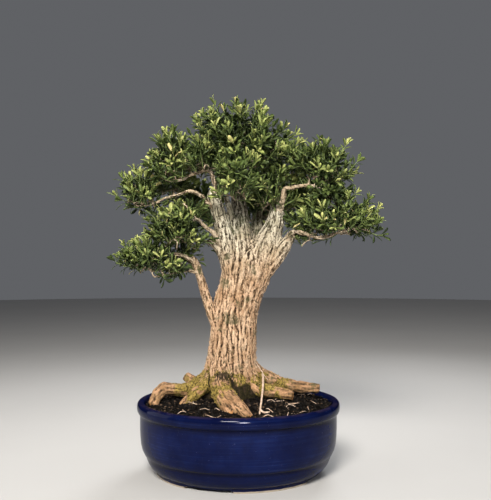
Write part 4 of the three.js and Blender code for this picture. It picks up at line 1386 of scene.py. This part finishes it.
def loose_bits(s):
    """Grains and chips, each with its own shade from its own number."""
    shade, grain = s.named("shade"), s.noise(500, 3)
    dark = s.mix(shade.between(0.0, 0.6), (0.002, 0.0015, 0.0012), (0.012, 0.0085, 0.006))
    brown = s.mix(shade.between(0.78, 1.0), dark, (0.15, 0.095, 0.058))
    return s.node(
        "BsdfPrincipled",
        {},
        {
            "Base Color": s.mix(grain.between(0.3, 0.7) * 0.4, brown, (0.004, 0.003, 0.002)),
            "Roughness": 0.7 + grain * 0.2,
            "Specular IOR Level": 0.15,
            "Normal": s.bump(grain, 0.0006),
        },
    )


soil = mesh_object("soil_mix", placed(soil_points), soil_faces, material("soil", dark_soil))
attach(soil, "root")
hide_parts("soil")


GRAINS = 3900
CHIPS = 300
GRAINS_REACH = 119


def grain_mesh():
    """A rough stone-like crumb with 20 faces."""
    golden = (1 + math.sqrt(5)) / 2
    points = [
        (-1, golden, 0), (1, golden, 0), (-1, -golden, 0), (1, -golden, 0), (0, -1, golden), (0, 1, golden),
        (0, -1, -golden), (0, 1, -golden), (golden, 0, -1), (golden, 0, 1), (-golden, 0, -1), (-golden, 0, 1),
    ]
    faces = [
        (0, 11, 5), (0, 5, 1), (0, 1, 7), (0, 7, 10), (0, 10, 11), (1, 5, 9), (5, 11, 4), (11, 10, 2),
        (10, 7, 6), (7, 1, 8), (3, 9, 4), (3, 4, 2), (3, 2, 6), (3, 6, 8), (3, 8, 9), (4, 9, 5), (2, 4, 11),
        (6, 2, 10), (8, 6, 7), (9, 8, 1),
    ]
    rough = [0.9, 1.1, 0.8, 1.0, 0.95, 1.15, 0.85, 1.05, 0.9, 1.1, 0.8, 1.0]
    return mesh_object("grain", np.array(points) / 1.9 * np.array(rough)[:, None] * MM, faces, smooth=False)


grain_part = grain_mesh()
grains_at, grain_sizes = [], []
for number in range(GRAINS + CHIPS):
    radius, turn = GRAINS_REACH * math.sqrt(chance.uniform(0.02, 1)), chance.uniform(0, 2 * math.pi)
    x, y = radius * math.cos(turn), radius * math.sin(turn)
    size = 0.7 + 1.1 * chance.uniform() ** 2.2
    sizes = size * np.ones(3)
    if number >= GRAINS:
        sizes = chance.uniform((1.6, 0.8, 0.35), (3.2, 1.6, 0.7))
    grains_at.append((x, y, soil_height(x, y) + 0.25 * size))
    grain_sizes.append(sizes)
grains = mesh_object("soil_grains", placed(grains_at), [])
shades = chance.uniform(0, 1, len(grains_at)) ** 1.6
shades[GRAINS:] = chance.uniform(0.5, 1, CHIPS)
give(grains.data, "shade", shades)
grain_turns = chance.uniform(-3, 3, (len(grains_at), 3))
grain_turns[GRAINS:, :2] *= 0.1
mark(grains, 0, grain_turns, np.array(grain_sizes))
bits_finish = material("loose bits", loose_bits)
run_tree(grains, setting, part=grain_part, part_material=bits_finish, unevenness=0.3, seed=90)
bpy.data.objects.remove(grain_part)
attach(grains, "root")


# Rootlets. Pale live fibres: one hangs from the flare over a surface root and ends in the soil by the rim,
# with a fork at its foot, and short ones lie about. A dry twig leans on the roots at the right.
FIBRES = 46
FIBRES_REACH = 115
FIBRE_STEP = 3.2
ROOTLET = [
    (28, 4, 124, 1.2), (31.5, -13, 125.5, 1.4), (30.8, -40, 114.5, 1.3), (28, -72, 100, 1.2),
    (24.6, -100, 86, 1.1),
]
DRY_TWIG = [(20, -12, 145, 0.3), (27, -18, 136, 0.45), (33, -21, 127, 0.45), (39, -18, 119, 0.4)]
ROOTLET_FORK = [(26, -86, 97, 1.0), (29, -88, 93.5, 1.3), (33, -89, 92.4, 1.3), (38, -88, 93, 0.9)]


def pale_fibre(s):
    grain = s.noise(300, 3)
    return s.node(
        "BsdfPrincipled",
        {},
        {
            "Base Color": s.mix(grain.between(0.3, 0.7), (0.50, 0.33, 0.22), (0.74, 0.58, 0.46)),
            "Roughness": 0.6 + grain * 0.2,
            "Normal": s.bump(grain, 0.0003),
        },
    )


fibre_parts = [tube(run_of(stations, 3), 8) for stations in (ROOTLET, DRY_TWIG, ROOTLET_FORK)]
for number in range(FIBRES):
    radius, turn = chance.uniform(45, 112), chance.uniform(0, 2 * math.pi)
    spot = np.array([radius * math.cos(turn), radius * math.sin(turn)])
    way, bend = chance.uniform(0, 2 * math.pi), chance.uniform(-0.5, 0.5)
    thickness = chance.uniform(0.25, 0.55)
    stations = []
    for step in range(chance.integers(5, 9)):
        if np.linalg.norm(spot) < FIBRES_REACH:
            stations.append((*spot, soil_height(*spot) + 0.9 + 1.3 * math.sin(step * 0.9), thickness))
        spot = spot + FIBRE_STEP * np.array([math.cos(way), math.sin(way)])
        way += bend
    if len(stations) > 3:
        fibre_parts.append(tube(np.array(stations), 5))
fibre_points, fibre_faces = joined(fibre_parts)
rootlets = mesh_object("rootlets", placed(fibre_points), fibre_faces, material("pale fibre", pale_fibre))
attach(rootlets, "root")
